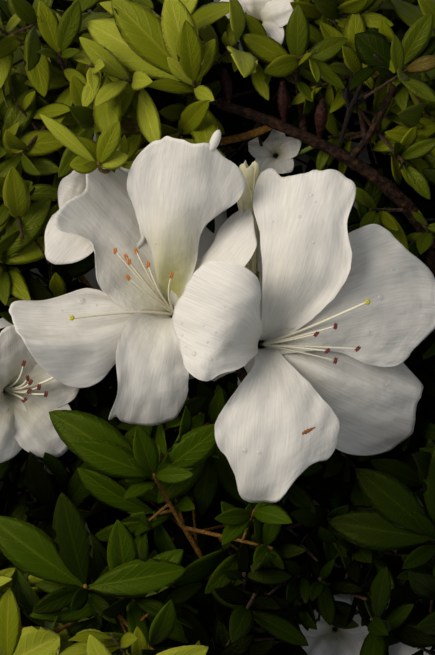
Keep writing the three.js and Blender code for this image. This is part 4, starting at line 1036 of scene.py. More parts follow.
def addCapsule(heap, row):
    # a stalk that thickens to its neck, and the dry valves that have split and spread from it
    foot, tip = growsFrom(row)
    way, side, over = axes(foot, tip)
    neck = mixed(foot, tip, row["neck"])
    thicker = mixed(*row["stalk"], np.linspace(0, 1, row["stalkRings"]) ** 3)
    bend = mixed(foot, tip, row["stalkBend"]) + side
    addRings(heap, tubeRings((foot, bend, neck), np.linspace(0.1, 1, row["stalkRings"]), thicker, row["stalkSides"]))
    near, middle, far = row["spread"]
    t = np.linspace(0, 1, row["valveRings"])
    radius = row["valve"] * np.sqrt(np.clip(1 - t ** 2, 0.004, 1))
    for i in range(row["valves"]):
        turn = i * 2 * math.pi / row["valves"]
        out = side * math.cos(turn) + over * math.sin(turn)
        line = (neck - way * row["valveFoot"] + out * near, mixed(neck, tip, row["valveBend"]) + out * middle,
                tip - way * (i % 3) + out * far)
        addRings(heap, tubeRings(line, t, radius, row["valveSides"]))


heap = newHeap()
addCapsule(heap, capsule)
addObstacle(heap)
finishPiece("seed_capsule_husk", heap, [capsuleHusk], "bud_scale", ["seed_capsule"])
print("buds made")


# Masses of leaves: each grows from a limb, a share `at` along it, to its tip, heading as told.
# `leaf` is the length of its outer leaves, `sides` the number of side twigs and `seed` picks its own turns.
# `marked` leaves stand at a bearing in plan, with their own length, rise above the plan in degrees, and width.

# `kinds` are the two kinds of leaf that a mass or tuft bears, picked to paint the light and shade where it stands into
# the leaves' green
masses = {
    "leaves_lower_left": {"limb": "bough_lower", "at": 1, "tip": (-19, -43, 52), "heading": (-0.2, 0.5, 0.8),
                          "leaf": 27, "sides": 2, "seed": 11, "kinds": ("lush", "lush"),
                          "marked": ((149, 37, 2), (158, 27, 12), (107, 20, 40), (64, 34, 20), (5, 15, 40))},
    "leaves_lower_corner": {"limb": "bough_lower", "at": 0.86, "tip": (-39, -76, 54), "heading": (-0.1, 0.4, 0.9),
                            "leaf": 28, "sides": 3, "seed": 12, "kinds": ("lush", "deep"),
                            "marked": ((144, 36, 4), (103, 31, 20), (11, 31, 10), (203, 18, 20))},
    "leaves_bottom": {"limb": "bough_bottom", "at": 0.97, "tip": (-28, -104, 72), "heading": (0, 0.6, 0.8),
                      "leaf": 24, "sides": 3, "seed": 13, "kinds": ("young", "bright"),
                      "marked": ((88, 25, 25), (121, 19, 20), (29, 30, 15), (160, 26, 20))},
    "leaves_bottom_corner": {"limb": "bough_bottom", "at": 1, "tip": (-62, -98, 52), "heading": (-0.3, 0.5, 0.8),
                             "leaf": 28, "sides": 3, "seed": 14, "kinds": ("bright", "young"),
                             "marked": ((62, 28, 20), (28, 18, 15, 0.8))},
    "leaves_bottom_middle": {"limb": "bough_bottom", "at": 0.55, "tip": (0, -100, 50), "heading": (0.1, 0.3, 0.9),
                             "leaf": 24, "sides": 3, "seed": 15, "kinds": ("deep", "shade")},
    "leaves_low_middle": {"limb": "bough_lower", "at": 0.6, "tip": (8, -74, 40), "heading": (0, 0.4, 0.9),
                          "leaf": 22, "sides": 3, "seed": 16, "kinds": ("shade", "deep"),
                          "marked": ((90, 21, 12), (0, 15, 10))},
    "leaves_low_right": {"limb": "main_stem", "at": 0.22, "tip": (31, -76, 34), "heading": (-0.2, 0.3, 0.9),
                         "leaf": 21, "sides": 3, "seed": 17, "kinds": ("shade", "deep"),
                         "marked": ((80, 18, 10), (255, 18, 10))},
    "leaves_right_lower": {"limb": "main_stem", "at": 0.42, "tip": (66, -62, 46), "heading": (0, 0.5, 0.8),
                           "leaf": 33, "sides": 3, "seed": 18, "kinds": ("deep", "deep"),
                           "marked": ((140, 33, 6), (88, 32, 10), (172, 34, 0))},
    "leaves_right_corner": {"limb": "main_stem", "at": 0.12, "tip": (76, -96, 32), "heading": (0.5, 0, 0.8),
                            "leaf": 28, "sides": 2, "seed": 19, "kinds": ("shade", "deep")},
    "leaves_right_edge": {"limb": "main_stem", "at": 0.62, "tip": (82, -20, 36), "heading": (0.5, 0.2, 0.8),
                          "leaf": 28, "sides": 2, "seed": 20, "kinds": ("deep", "lush")},
    "leaves_right_upper": {"limb": "bough_right", "at": 0.5, "tip": (62, 31, 44), "heading": (-0.3, 0.4, 0.8),
                           "leaf": 20, "sides": 2, "seed": 21, "kinds": ("bright", "mid"),
                           "marked": ((160, 22, 10), (20, 16, 20))},
    "leaves_right_outer": {"limb": "bough_right", "at": 0.7, "tip": (92, 40, 34), "heading": (0.6, 0.3, 0.7),
                           "leaf": 26, "sides": 2, "seed": 22, "kinds": ("mid", "deep")},
    "leaves_top_right": {"limb": "bough_right", "at": 1, "tip": (84, 84, 34), "heading": (0.3, 0.6, 0.7),
                         "leaf": 26, "sides": 3, "seed": 23, "kinds": ("mid", "bright")},
    "leaves_twig_right": {"limb": "bough_top_right", "at": 1, "tip": (54, 78, 46), "heading": (0, 0.7, 0.7),
                          "leaf": 23, "sides": 1, "seed": 24, "kinds": ("deep", "mid"),
                          "marked": ((114, 21, 8, 0.58), (60, 20, 20), (10, 20, 20))},
    "leaves_twig_middle": {"limb": "bough_top_right", "at": 0.3, "tip": (42, 80, 36), "heading": (0, 0.7, 0.7),
                           "leaf": 22, "sides": 1, "seed": 25, "kinds": ("bright", "mid"),
                           "marked": ((92, 18, 20), (70, 20, 20), (130, 18, 10))},
    "leaves_top_middle": {"limb": "bough_top_up", "at": 0.3, "tip": (24, 79, 40), "heading": (0, 0.6, 0.8),
                          "leaf": 21, "sides": 2, "seed": 26, "kinds": ("mid", "bright"),
                          "marked": ((90, 20, 25), (150, 20, 10), (30, 18, 10))},
    "leaves_top": {"limb": "bough_top_up", "at": 1, "tip": (24, 110, 34), "heading": (0, 0.7, 0.7),
                   "leaf": 25, "sides": 3, "seed": 27, "kinds": ("mid", "bright")},
    "leaves_top_bright": {"limb": "bough_top", "at": 1, "tip": (-7, 73, 50), "heading": (-0.1, 0.5, 0.85),
                          "leaf": 30, "sides": 2, "seed": 28, "kinds": ("bright", "young"),
                          "marked": ((134, 36, 4), (106, 29, 20), (36, 19, 30), (150, 38, 0), (98, 22, 40))},
    "leaves_top_left": {"limb": "bough_top_left", "at": 1, "tip": (-47, 82, 46), "heading": (-0.1, 0.6, 0.8),
                        "leaf": 24, "sides": 3, "seed": 29, "kinds": ("bright", "mid"),
                        "marked": ((110, 18, 20), (70, 18, 20))},
    "leaves_top_back": {"limb": "bough_top_left", "at": 0.55, "tip": (-22, 96, 26), "heading": (0, 0.8, 0.5),
                        "leaf": 28, "sides": 3, "seed": 30, "kinds": ("mid", "bright")},
    "leaves_upper_left": {"limb": "bough_left_up", "at": 1, "tip": (-66, 54, 38), "heading": (-0.3, 0.4, 0.85),
                          "leaf": 26, "sides": 3, "seed": 31, "kinds": ("bright", "mid"),
                          "marked": ((342, 27, 10), (60, 22, 10), (120, 24, 20))},
    "leaves_young_shoot": {"limb": "bough_top_left", "at": 0.7, "tip": (-34.5, 47.5, 65), "heading": (0, 0.3, 0.95),
                           "leaf": 15, "sides": 0, "seed": 32, "kinds": ("young", "bright"),
                           "marked": ((139, 23, 8, 0.2), (64, 15, 20, 0.42), (350, 12, 8, 0.55),
                                      (208, 12, 22, 0.62))},
    "leaves_left_edge": {"limb": "bough_left_up", "at": 0.6, "tip": (-68, 20, 34), "heading": (-0.4, 0.2, 0.85),
                         "leaf": 24, "sides": 3, "seed": 33, "kinds": ("bright", "mid"),
                         "marked": ((20, 22, 5), (48, 27, 18))},
    "leaves_left_low": {"limb": "bough_left", "at": 0.86, "tip": (-72, -52, 34), "heading": (-0.3, -0.5, 0.8),
                        "leaf": 26, "sides": 3, "seed": 34, "kinds": ("deep", "shade"), "marked": ((62, 22, 20),)},
    "leaves_left_corner": {"limb": "bough_left", "at": 0.5, "tip": (-50, -58, 34), "heading": (-0.3, -0.2, 0.9),
                           "leaf": 26, "sides": 2, "seed": 35, "kinds": ("deep", "shade")},
    "leaves_under_blooms": {"limb": "bough_blooms", "at": 0.7, "tip": (-2, -34, 38), "heading": (-0.2, -0.3, 0.9),
                            "leaf": 24, "sides": 2, "seed": 36, "kinds": ("deep", "lush"),
                            "marked": ((262, 24, 5), (230, 26, 5), (300, 24, 5))},
    "leaves_middle": {"limb": "bough_blooms", "at": 0.4, "tip": (34, -58, 34), "heading": (0.1, -0.3, 0.9),
                      "leaf": 24, "sides": 2, "seed": 37, "kinds": ("shade", "deep")},
}
# low tufts on bare stretches of limb, each within tuftRoom of its tip
tufts = {
    "tuft_left": {"limb": "bough_left", "at": 0.72, "tip": (-40, -19, 17), "heading": (0, 0.2, 1), "leaf": 22,
                  "sides": 2, "seed": 51, "kinds": ("shade", "deep"), "marked": ((250, 22, 8), (300, 20, 8))},
    "tuft_right": {"limb": "main_stem", "at": 0.68, "tip": (68, -10, 26), "heading": (0.2, 0, 1), "leaf": 22,
                   "sides": 2, "seed": 52, "kinds": ("shade", "deep")},
    "tuft_left_up": {"limb": "bough_left", "at": 0.6, "tip": (-50, 14, 17), "heading": (0.1, 0.2, 1), "leaf": 22,
                     "sides": 2, "seed": 57, "kinds": ("deep", "lush"), "marked": ((40, 22, 8),)},
    "tuft_right_up": {"limb": "main_stem", "at": 0.85, "tip": (46, 33, 20), "heading": (0.1, 0.2, 1), "leaf": 20,
                      "sides": 2, "seed": 58, "kinds": ("deep", "lush"), "marked": ((75, 18, 12),)},
    "tuft_behind": {"limb": "bough_top", "at": 0.85, "tip": (8, 57, 13), "heading": (0, 0.2, 1), "leaf": 22,
                    "sides": 2, "seed": 59, "kinds": ("shade", "shade")},
    "tuft_low_middle": {"limb": "bough_lower", "at": 0.7, "tip": (-3, -66, 13), "heading": (0, 0.2, 1), "leaf": 22,
                        "sides": 2, "seed": 60, "kinds": ("shade", "deep")},
    "tuft_low": {"limb": "bough_bottom", "at": 0.75, "tip": (-10, -88, 12), "heading": (0, 0.2, 1), "leaf": 22,
                 "sides": 2, "seed": 61, "kinds": ("shade", "deep")},
    "tuft_corner": {"limb": "bough_left", "at": 0.9, "tip": (-64, -72, 20), "heading": (-0.2, -0.4, 0.9), "leaf": 24,
                    "sides": 2, "seed": 53, "kinds": ("shade", "deep")},
    "tuft_top_left": {"limb": "bough_top_left", "at": 1, "tip": (-60, 92, 22), "heading": (-0.4, 0.5, 0.8), "leaf": 24,
                      "sides": 3, "seed": 54, "kinds": ("deep", "mid")},
    "tuft_top_right": {"limb": "bough_right", "at": 1, "tip": (58, 100, 16), "heading": (-0.3, 0.6, 0.8), "leaf": 22,
                       "sides": 3, "seed": 56, "kinds": ("deep", "mid")},
}
tuftRoom = 30
twig = {"radius": 0.85, "taper": 0.3, "thinner": 0.8, "starts": (0.3, 0.8), "reach": (0.7, 1.2), "leaves": 7,
        "rise": (0.1, 0.6), "wander": 0.6, "sag": 2, "sides": 8, "rings": 14, "leafSize": 0.92, "bend": 0.45,
        "knots": 0.06, "knotTurns": 40}
finer = {"perTwig": 2, "starts": (0.25, 0.85), "reach": (0.4, 0.85), "rise": (-0.6, 0.6), "leaves": 7,
         "leafSize": (0.85, 1.15), "radius": 0.6, "follow": 0.4, "sag": 1.2}
hanging = {"perMass": 8, "starts": (0.05, 0.55), "reach": (0.5, 1.4), "heights": (3, 18), "leaves": 8,
           "leafSize": (1.0, 1.25), "lean": 0.35, "bend": 0.6, "sag": 1.5}
# the whorl at a mass's tip, alone or round its marked leaves: its share of the leaf length, and how many leaves
crown = {"alone": (1, 8), "marked": (0.75, 5)}
# the leaves of such low shoots get the two darkest kinds, whose green is painted shade
shadeBelow = 26  # leaves of shoots that end lower than this stand in shade and are dark
# Shares of a leaf's length or width, angles in degrees and, for `sunk`, `thick` and `clear`, millimetres.
# `old` is the share of leaves that have yellowed.
blade = {"width": (0.29, 0.38), "widest": 0.55, "bow": 0.04, "droop": (0.04, 0.16), "spread": (80, 32),
         "wander": 16, "shorten": 0.35, "vary": (0.88, 1.12), "markedDroop": 0.08, "markedWidth": 0.36,
         "sunk": 0.6, "thick": 0.22, "clear": 0.4, "old": 0.02,
         "swings": ((26, 0.85), (-26, 0.8), (50, 0.65), (0, 0.6))}  # other places tried: turn and length
secondKind = {"from": 0.8, "blur": 0.9}  # how far in a whorl its second kind of leaf begins
whorlDepth, rootDepth, leanUp = 8, 1.6, 0.6
lowestBend, lowestShoot, lowestFiner, floorClear = 4, 6, 4.2, 0.2


def seeded(seed):
    # the repeatable draws that the frame's own masses were grown with
    state = (seed * 40503) & 0xFFFFFFFF
    while True:
        state = (state * 1664525 + 1013904223) & 0xFFFFFFFF
        yield state / 4294967296


def makeLeaf(base, along, faceHint, length, droop, width, kind):
    root = base - along * blade["sunk"]
    face = unit(faceHint - along * faceHint.dot(along))
    across = unit(np.cross(face, along))
    half = length * width / 2
    middle = root + along * length * blade["widest"] + face * length * blade["bow"]
    tip = root + along * length - face * length * droop
    middle[2] = max(middle[2], floorClear + half * abs(across[2]) + blade["clear"])
    tip[2] = max(tip[2], floorClear)
    return {"root": root, "middle": middle, "tip": tip, "across": across, "face": face, "half": half,
            "length": length, "kind": kind}


def swungLeaf(leaf, swing, share):
    along = leaf["tip"] - leaf["root"]
    length = np.linalg.norm(along) * share
    along = turned(unit(along), leaf["face"], np.array(math.radians(swing)))
    return makeLeaf(leaf["root"], along, leaf["face"], length, blade["droop"][0],
                    leaf["half"] * 2 / leaf["length"], leaf["kind"])


def whorl(tip, axis, leafLength, count, random, kinds, extra):
    # leaves round the end of a shoot, the inner ones shorter and more upright
    side = unit(np.cross(axis, crossing(axis)))
    other = np.cross(axis, side)
    faceHint = unit(axis + upward * leanUp)
    start = next(random) * math.pi * 2
    leaves = []
    for i in range(count):
        inner = i / (count - 1)
        turn = start + i * goldenTurn
        spread = math.radians(mixed(*blade["spread"], inner) + (next(random) - 0.5) * blade["wander"])
        length = leafLength * (1 - blade["shorten"] * inner) * mixed(*blade["vary"], next(random))
        droop = mixed(*blade["droop"], next(random))
        along = axis * math.cos(spread) + side * math.sin(spread) * math.cos(turn) \
            + other * math.sin(spread) * math.sin(turn)
        root = tip - axis * (rootDepth + whorlDepth * (1 - inner))
        kind = kinds[int(inner + extra.random() * secondKind["blur"] > secondKind["from"])]
        leaves.append(makeLeaf(root, along, faceHint, length, droop, extra.uniform(*blade["width"]), kind))
    return leaves


def markedLeaves(row, heading):
    # the leaves that show most: they are placed first, and nothing else hangs over them
    root = np.array(row["tip"], float) - heading * rootDepth
    leaves = []
    for i, (bearing, length, rise, *width) in enumerate(row.get("marked", ())):
        level = math.cos(math.radians(rise))
        along = np.array((level * math.cos(math.radians(bearing)), level * math.sin(math.radians(bearing)),
                          math.sin(math.radians(rise))))
        leaf = makeLeaf(root, along, upward, length, blade["markedDroop"], *(width or [blade["markedWidth"]]),
                        row["kinds"][i % 2])
        leaves.append({**leaf, "marked": True})
    return leaves


def ownDraws(extra):
    # a whorl's own seeded draws
    return seeded(int(extra.integers(1, 60000)))


def finerShoots(parent, size, row, extra, count):
    # small twigs that leave a twig by the same golden turn, each with its own whorl
    shoots = []
    turn = extra.uniform(0, 2 * math.pi)
    for i in range(count):
        share = mixed(*finer["starts"], (i + extra.random() * 0.5) / count)
        start, way = (found[0] for found in bezier(parent["line"], np.array([share])))
        turn += goldenTurn
        rise = extra.uniform(*finer["rise"])
        out = unit(np.array((math.cos(turn), math.sin(turn), rise)) + way * finer["follow"])
        end = start + out * size * extra.uniform(*finer["reach"])
        end[2] = max(end[2], lowestFiner)
        line = (start, mixed(start, end, 0.5) - upward * finer["sag"], end)
        axis = unit(bezier(line, np.array([1.0]))[1][0] + upward * leanUp)
        chain = ownDraws(extra)
        # finer shoots that end low get the two darkest kinds of leaf, painted shade
        kinds = ("shade", "deep") if end[2] < shadeBelow else row["kinds"]
        leaves = whorl(end, axis, size * extra.uniform(*finer["leafSize"]), finer["leaves"], chain, kinds, extra)
        shoots.append({"line": line, "radius": twig["radius"] * finer["radius"], "leaves": leaves})
    return shoots


def hangingShoots(parent, size, extra):
    # twigs that hang below the others, nearly at rest on the table, with leaves of the shade kind, their green painted
    # dark as shade
    shoots = []
    turn = extra.uniform(0, 2 * math.pi)
    for i in range(hanging["perMass"]):
        start = bezier(parent["line"], mixed(*hanging["starts"], i / hanging["perMass"]))[0]
        turn += goldenTurn
        reach = size * extra.uniform(*hanging["reach"])
        end = start + np.array((math.cos(turn), math.sin(turn), 0)) * reach
        end[2] = extra.uniform(*hanging["heights"])
        line = (start, mixed(start, end, hanging["bend"]) - upward * hanging["sag"], end)
        axis = unit(unit(end - start) * hanging["lean"] + upward)
        leaves = whorl(end, axis, size * extra.uniform(*hanging["leafSize"]), hanging["leaves"],
                       ownDraws(extra), ("shade", "shade"), extra)
        shoots.append({"line": line, "radius": twig["radius"] * finer["radius"], "leaves": leaves})
    return shoots


def massShoots(row):
    # a stem with a whorl and side twigs, as the frame's mass has it, and finer and hanging twigs of the scene's own
    random, extra = seeded(row["seed"]), np.random.default_rng(row["seed"])
    foot, tip = growsFrom(row)
    heading = unit(np.array(row["heading"], float))
    bend = tip - heading * np.linalg.norm(foot - tip) * twig["bend"]
    bend[2] = max(bend[2], lowestBend)
    leaves = markedLeaves(row, heading)
    size, count = crown["marked" if leaves else "alone"]
    leaves += whorl(tip, heading, row["leaf"] * size, count, random, row["kinds"], extra)
    shoots = [{"line": (foot, bend, tip), "radius": twig["radius"], "leaves": leaves}]
    firstTurn = next(random) * math.pi * 2
    for i in range(row["sides"]):
        share = mixed(*twig["starts"], i / max(row["sides"] - 1, 1))
        start = bezier(shoots[0]["line"], share)[0]
        turn = firstTurn + i * goldenTurn + (next(random) - 0.5) * twig["wander"]
        rise = mixed(*twig["rise"], next(random))
        reach = row["leaf"] * mixed(*twig["reach"], next(random))
        end = start + unit(np.array((math.cos(turn), math.sin(turn), rise))) * reach
        end[2] = max(end[2], lowestShoot)
        line = (start, mixed(start, end, 0.5) - upward * twig["sag"], end)
        axis = unit(bezier(line, np.array([1.0]))[1][0] + upward * leanUp)
        own = whorl(end, axis, row["leaf"] * twig["leafSize"], twig["leaves"], random, row["kinds"], extra)
        shoots.append({"line": line, "radius": twig["radius"] * twig["thinner"], "leaves": own})
    for shoot in list(shoots):
        shoots += finerShoots(shoot, row["leaf"], row, extra, finer["perTwig"])
    shoots += hangingShoots(shoots[0], row["leaf"], extra)
    return shoots


# Leaves and obstacles are held apart by plain eight-sided stand-ins. Against limbs and blooms a leaf's stand-in
# starts near its root; against other leaves it starts farther out and is narrower, since all crowd at the root.
besideLimbs = (0.12, 1.0)
besideLeaves = (0.45, 0.7)
proxyDepth = 0.35


def leafProxy(leaf, start, shrink):
    root = mixed(leaf["root"], leaf["middle"], start)
    side = leaf["across"] * leaf["half"] * shrink
    lift = leaf["face"] * proxyDepth
    points = [root, leaf["middle"] + side, leaf["middle"] - side, leaf["middle"] + lift,
              leaf["middle"] - lift, leaf["tip"]]
    faces = [(0, 1, 3), (0, 3, 2), (0, 2, 4), (0, 4, 1), (5, 3, 1), (5, 2, 3), (5, 4, 2), (5, 1, 4)]
    return BVHTree.FromPolygons([tuple(p) for p in points], faces)


# The bare wood stays open to the light: no leaf hangs over these stretches of limb, nor over buds and petals.
# A lane is a pair of walls that no leaf crosses: where it starts and ends along a line, and half its width.
openLanes = (("bough_top", 0.12, 1.0, 3.2), ("bough_top_right", 0.0, 0.9, 2.4), ("main_stem", 0.9, 1.0, 3.0))
shootLane = ("leaves_lower_left", 0.1, 0.75, 2.0)
halfOpenLane, budLane, clearingLane = (0.4, 1.02, 3.5), (0.1, 1.0, 2.2), (0, 1, 2.4)
petalLanes = ((0.35, 0.97, 0.62), (0.3, 1.0, 0.15))  # widths as shares of a petal's half width
leafLane = (0.35, 0.95, 0.5)
clearings = (((1, 51, 34), (7, 55, 34), (14, 60, 34)), ((12, 51, 30), (17, 51, 30), (22, 50, 30)),
             ((4, 60, 34), (9, 62, 34), (15, 66, 34)))
laneTop, laneSteps = 92, 12


def addLane(line, start, end, half):
    place, way = bezier(line, np.linspace(start, end, laneSteps))
    aside = unit(np.cross(way, upward)) * half
    for side in (aside, -aside):
        foot = place + side
        roof = foot * (1, 1, 0) + upward * laneTop
        first = addPoints(obstacles, np.stack([foot, roof]))
        index = first + np.arange(laneSteps - 1)
        addFaces(obstacles, np.stack([index, index + 1, index + 1 + laneSteps, index + laneSteps], -1), 0)


for name, start, end, half in openLanes:
    addLane(limbLine(name), start, end, half)
addLane(growsFrom(masses[shootLane[0]]), *shootLane[1:])
halfOpen = smallBlooms["bloom_half_open"]
throat = np.array(halfOpen["throat"], float)
addLane((throat, throat + np.array(halfOpen["facing"]) * halfOpen["reach"]), *halfOpenLane)
for bloom in blooms.values():
    for shape in bloom["petals"]:
        spine = [np.array(bloom["throat"], float), np.array(shape["knee"], float), np.array(shape["tip"], float)]
        for start, end, width in petalLanes:
            addLane(spine, start, end, shape["half"] * width)
for line in clearings:
    addLane(np.array(line, float), *clearingLane)
for row in (*buds.values(), capsule):
    addLane(growsFrom(row), *budLane)
standing = heapTree(obstacles)
blockSize = 16.0  # neighbours are looked up in blocks of this size
placed = {}


def blocksOf(leaf):
    points = np.array([leaf["root"], leaf["middle"], leaf["tip"]])
    low = np.floor((points.min(0) - leaf["half"]) / blockSize).astype(int)
    high = np.floor((points.max(0) + leaf["half"]) / blockSize).astype(int)
    return itertools.product(*(range(a, b + 1) for a, b in zip(low, high)))


def inReach(leaf, low, high):
    points = np.array([leaf["tip"], leaf["middle"], leaf["root"]])
    return bool((points >= low).all() and (points <= high).all())


def isFree(leaf, low, high):
    if not inReach(leaf, low, high) or leafProxy(leaf, *besideLimbs).overlap(standing):
        return False
    own = leafProxy(leaf, *besideLeaves)
    seen = set()
    for block in blocksOf(leaf):
        for number, other in placed.get(block, ()):
            if number not in seen:
                seen.add(number)
                if own.overlap(other):
                    return False
    return True


# places along and across a leaf's grid; the dark leaves low down have fewer
leafStations = {"near": np.array((0, 0.03, 0.1, 0.2, 0.32, 0.45, 0.58, 0.7, 0.81, 0.9, 0.96, 1.0)),
                "shade": np.array((0, 0.04, 0.14, 0.3, 0.48, 0.66, 0.82, 0.93, 1.0))}
leafAcross = {"near": np.array((-1, -0.66, -0.3, 0, 0.3, 0.66, 1)), "shade": np.array((-1, -0.5, 0, 0.5, 1))}
leafForm = {"twist": 0.16, "vee": (0.12, 0.34), "curl": 0.16, "wave": (0, 0.09), "waves": 9,
            "point": 1.25, "round": 0.82, "blend": (0.02, 0.16), "stalk": 0.075, "stalkEnd": 0.12, "least": 0.012,
            "edgeThin": 0.5, "underClear": 0.15}


def leafGrid(leaf, extra):
    # an obovate blade with a short stalk and a small point; its halves rise a little from the midrib
    detail = "shade" if leaf["kind"] == "shade" else "near"
    stations = leafStations[detail]
    s, u = stations[:, None], leafAcross[detail][None, :]
    a, b, c = leaf["root"], leaf["middle"], leaf["tip"]
    w = blade["widest"]
    mid = (a * ((s - w) * (s - 1) / w)[..., None] + b * (s * (s - 1) / (w * (w - 1)))[..., None]
           + c * (s * (s - w) / (1 - w))[..., None])
    way = unit(np.gradient(mid[:, 0], stations, axis=0))[:, None]
    twist = extra.normal(0, leafForm["twist"]) * s
    side = turned(leaf["across"] * np.ones_like(way), way, twist)
    side = unit(side - way * (side * way).sum(-1, keepdims=True))
    normal = np.cross(way, side)
    normal = normal * np.sign((normal * leaf["face"]).sum(-1, keepdims=True) + 1e-9)
    outline = np.sin(math.pi * s ** leafForm["point"]) ** leafForm["round"] * smooth(s, *leafForm["blend"])
    outline = np.maximum(outline, leafForm["stalk"] * (s < leafForm["stalkEnd"])) + leafForm["least"]
    half = leaf["half"] * outline
    vee = extra.uniform(*leafForm["vee"])
    wave = extra.uniform(*leafForm["wave"])
    lift = half * (vee * np.abs(u) - leafForm["curl"] * u ** 4) + leaf["half"] * wave * np.abs(u) ** 2 \
        * np.sin(s * leafForm["waves"] + extra.uniform(0, 6) + u)
    front = mid + side * (half * u)[..., None] + normal * lift[..., None]
    back = front - normal * (blade["thick"] * (1 - leafForm["edgeThin"] * np.abs(u)))[..., None]
    front[..., 2] = np.maximum(front[..., 2], floorClear)
    back[..., 2] = np.maximum(back[..., 2], floorClear - leafForm["underClear"])
    uv = np.stack(np.broadcast_arrays(u, s), -1)
    return front, back, uv


# Leaves of one kind are shared out between the upper and the lower half of the branch, to keep pieces small
parts = ("upper", "lower")
leafHeaps = {(kind, part): newHeap() for kind in leafKinds for part in parts}
twigHeaps = {"twigs": newHeap(), "twigs_young": newHeap()}
youngMasses = {"leaves_lower_left", "leaves_lower_corner", "leaves_under_blooms", "leaves_young_shoot"}
leafCount = {kind: 0 for kind in leafKinds}
replacedBy = {key: set() for key in leafHeaps}
room = {name: tuple(np.array(corner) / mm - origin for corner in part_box(name)) for name in masses}
room.update({name: (np.array(row["tip"]) - tuftRoom, np.array(row["tip"]) + tuftRoom) for name, row in tufts.items()})
roomSpare, lowestPoint = 2, 0.1  # how far a mass may outgrow its solid's box, and how low it may lie
allShoots = []
for name, row in {**masses, **tufts}.items():
    extra = np.random.default_rng(row["seed"] + 500)
    nearEnd, farEnd = room[name][0] - roomSpare, room[name][1] + roomSpare
    nearEnd[2] = lowestPoint
    for shoot in massShoots(row):
        path = bezier(shoot["line"], np.linspace(0, 1, 8))[0]
        close = any(standing.find_nearest(Vector(p), shoot["radius"] + clearGap)[0] for p in path[2:])
        outside = not ((path >= nearEnd).all() and (path <= farEnd).all())
        # side twigs that would touch a bloom or a limb, or leave their room, are left out; stems always stay
        if shoot["radius"] < twig["radius"] and (close or outside):
            continue
        allShoots.append((name, row, shoot, nearEnd, farEnd, extra))


def placeLeaf(drawn, name, row, nearEnd, farEnd, extra):
    # a leaf takes its own place, or swings aside and is shorter, or is left out
    tries = [drawn] + [swungLeaf(drawn, swing, share) for swing, share in blade["swings"]]
    leaf = next((candidate for candidate in tries if isFree(candidate, nearEnd, farEnd)), None)
    if leaf is None:
        return None
    number, tree = sum(leafCount.values()), leafProxy(leaf, *besideLeaves)
    for block in blocksOf(leaf):
        placed.setdefault(block, []).append((number, tree))
    kind = leaf["kind"]
    if kind in ("mid", "lush") and not drawn.get("marked") and extra.random() < blade["old"]:
        kind = "old"
    front, back, uv = leafGrid(leaf, extra)
    key = kind, parts[int(row["tip"][1] < 0)]
    addBlade(leafHeaps[key], front, back, uv, backKind=1)
    leafCount[kind] += 1
    replacedBy[key].add(name)
    return leaf


# marked leaves come first, then those of stems and side twigs, and then those of the finer twigs between them
for turn in ("marked", "stem", "fine"):
    for name, row, shoot, nearEnd, farEnd, extra in allShoots:
        isStem = shoot["radius"] >= twig["radius"] * twig["thinner"] - 0.01
        for drawn in shoot["leaves"]:
            own = "marked" if drawn.get("marked") else "stem" if isStem else "fine"
            leaf = placeLeaf(drawn, name, row, nearEnd, farEnd, extra) if own == turn else None
            if leaf is not None:
                shoot["leafy"] = True
                if turn == "marked":
                    start, end, width = leafLane
                    addLane((leaf["root"], leaf["middle"], leaf["tip"]), start, end, leaf["half"] * width)
    standing = heapTree(obstacles)
for name, row, shoot, *_ in allShoots:
    if shoot.get("leafy") or shoot["radius"] >= twig["radius"]:
        t = np.linspace(0, 1, twig["rings"])
        radius = shoot["radius"] * (1 - twig["taper"] * t) * (1 + twig["knots"] * np.sin(t * twig["knotTurns"]))
        heap = twigHeaps["twigs_young" if name in youngMasses else "twigs"]
        addRings(heap, tubeRings(shoot["line"], t, radius, twig["sides"]))
print("leaves:", leafCount, "shoots:", len(allShoots))

for (kind, part), heap in leafHeaps.items():
    if heap["count"]:
        finishPiece(f"leaves_{kind}_{part}", heap, list(leafFaces[kind]), "foliage",
                    sorted(replacedBy[kind, part] & set(masses)))
finishPiece("twigs", twigHeaps["twigs"], [twigBark], "foliage", sorted(set(masses) - youngMasses))
finishPiece("twigs_young", twigHeaps["twigs_young"], [youngBark], "foliage", sorted(youngMasses))
print("foliage made")


# Floor, light and camera

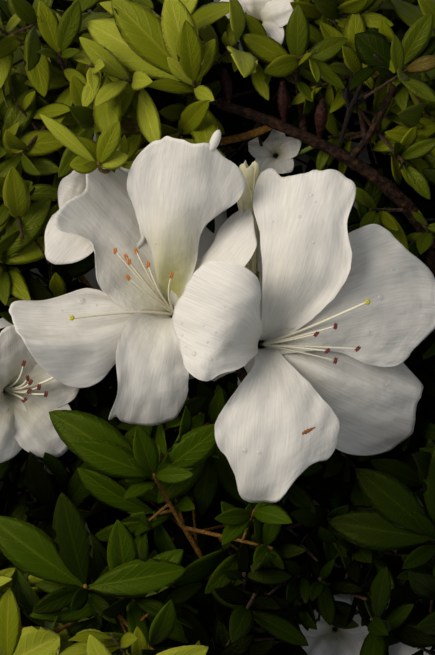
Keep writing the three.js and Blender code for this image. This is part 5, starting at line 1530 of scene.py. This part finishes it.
def addLight(name, place, aim, size, power, colour):
    data = bpy.data.lights.new(name, "AREA")
    data.shape = "DISK"
    data.size = size
    data.energy = power
    data.color = fromHex(colour)[:3]
    lamp = bpy.data.objects.new(name, data)
    lamp.location = place
    lamp.rotation_euler = (Vector(aim) - Vector(place)).to_track_quat("-Z", "Y").to_euler()
    bpy.context.scene.collection.objects.link(lamp)


# Metres and watts. The lens shows 196.5 mm of the branch's length from 700 mm away on a sensor of 36 mm.
studio = {"floorSize": 3.0, "floorColour": "#d9d6cf", "sky": "#dfe6ee", "skyStrength": 0.34,
          "keyPlace": (-0.98, 0.52, 1.10), "keyAim": (0, 0.01, 0.04), "keyPower": 23.5, "keySize": 1.1,
          "keyColour": "#fff6ea", "cameraHeight": 0.740, "sensor": 36, "lens": 36 * 700 / 196.5}

bpy.ops.mesh.primitive_plane_add(size=studio["floorSize"])
floor = bpy.context.object
floor.name = "floor"
floorPaper, tree = newMaterial("floor_paper")
place = addNode(tree, "TexCoord").outputs["Object"]
grain = addNode(tree, "TexNoise", {"Scale": perMetre(2.0)}, {"Vector": place})
bump = addNode(tree, "Bump", {"Strength": 0.1, "Distance": 0.05 * mm}, {"Height": grain.outputs["Fac"]})
paper = addNode(tree, "BsdfPrincipled", {"Base Color": fromHex(studio["floorColour"]), "Roughness": 0.85},
                {"Normal": bump.outputs["Normal"]})
closeMaterial(tree, paper.outputs[0])
floor.data.materials.append(floorPaper)

world = bpy.data.worlds.new("studio")
world.use_nodes = True
background = world.node_tree.nodes["Background"]
background.inputs["Color"].default_value = fromHex(studio["sky"])
background.inputs["Strength"].default_value = studio["skyStrength"]
bpy.context.scene.world = world
addLight("key", studio["keyPlace"], studio["keyAim"], studio["keySize"], studio["keyPower"], studio["keyColour"])

cameraData = bpy.data.cameras.new("camera")
cameraData.sensor_width = studio["sensor"]
cameraData.lens = studio["lens"]
camera = bpy.data.objects.new("camera", cameraData)
camera.location = (origin[0] * mm, origin[1] * mm, studio["cameraHeight"])
bpy.context.scene.collection.objects.link(camera)
bpy.context.scene.camera = camera
bpy.context.scene.view_settings.view_transform = "Standard"
print("stage set")
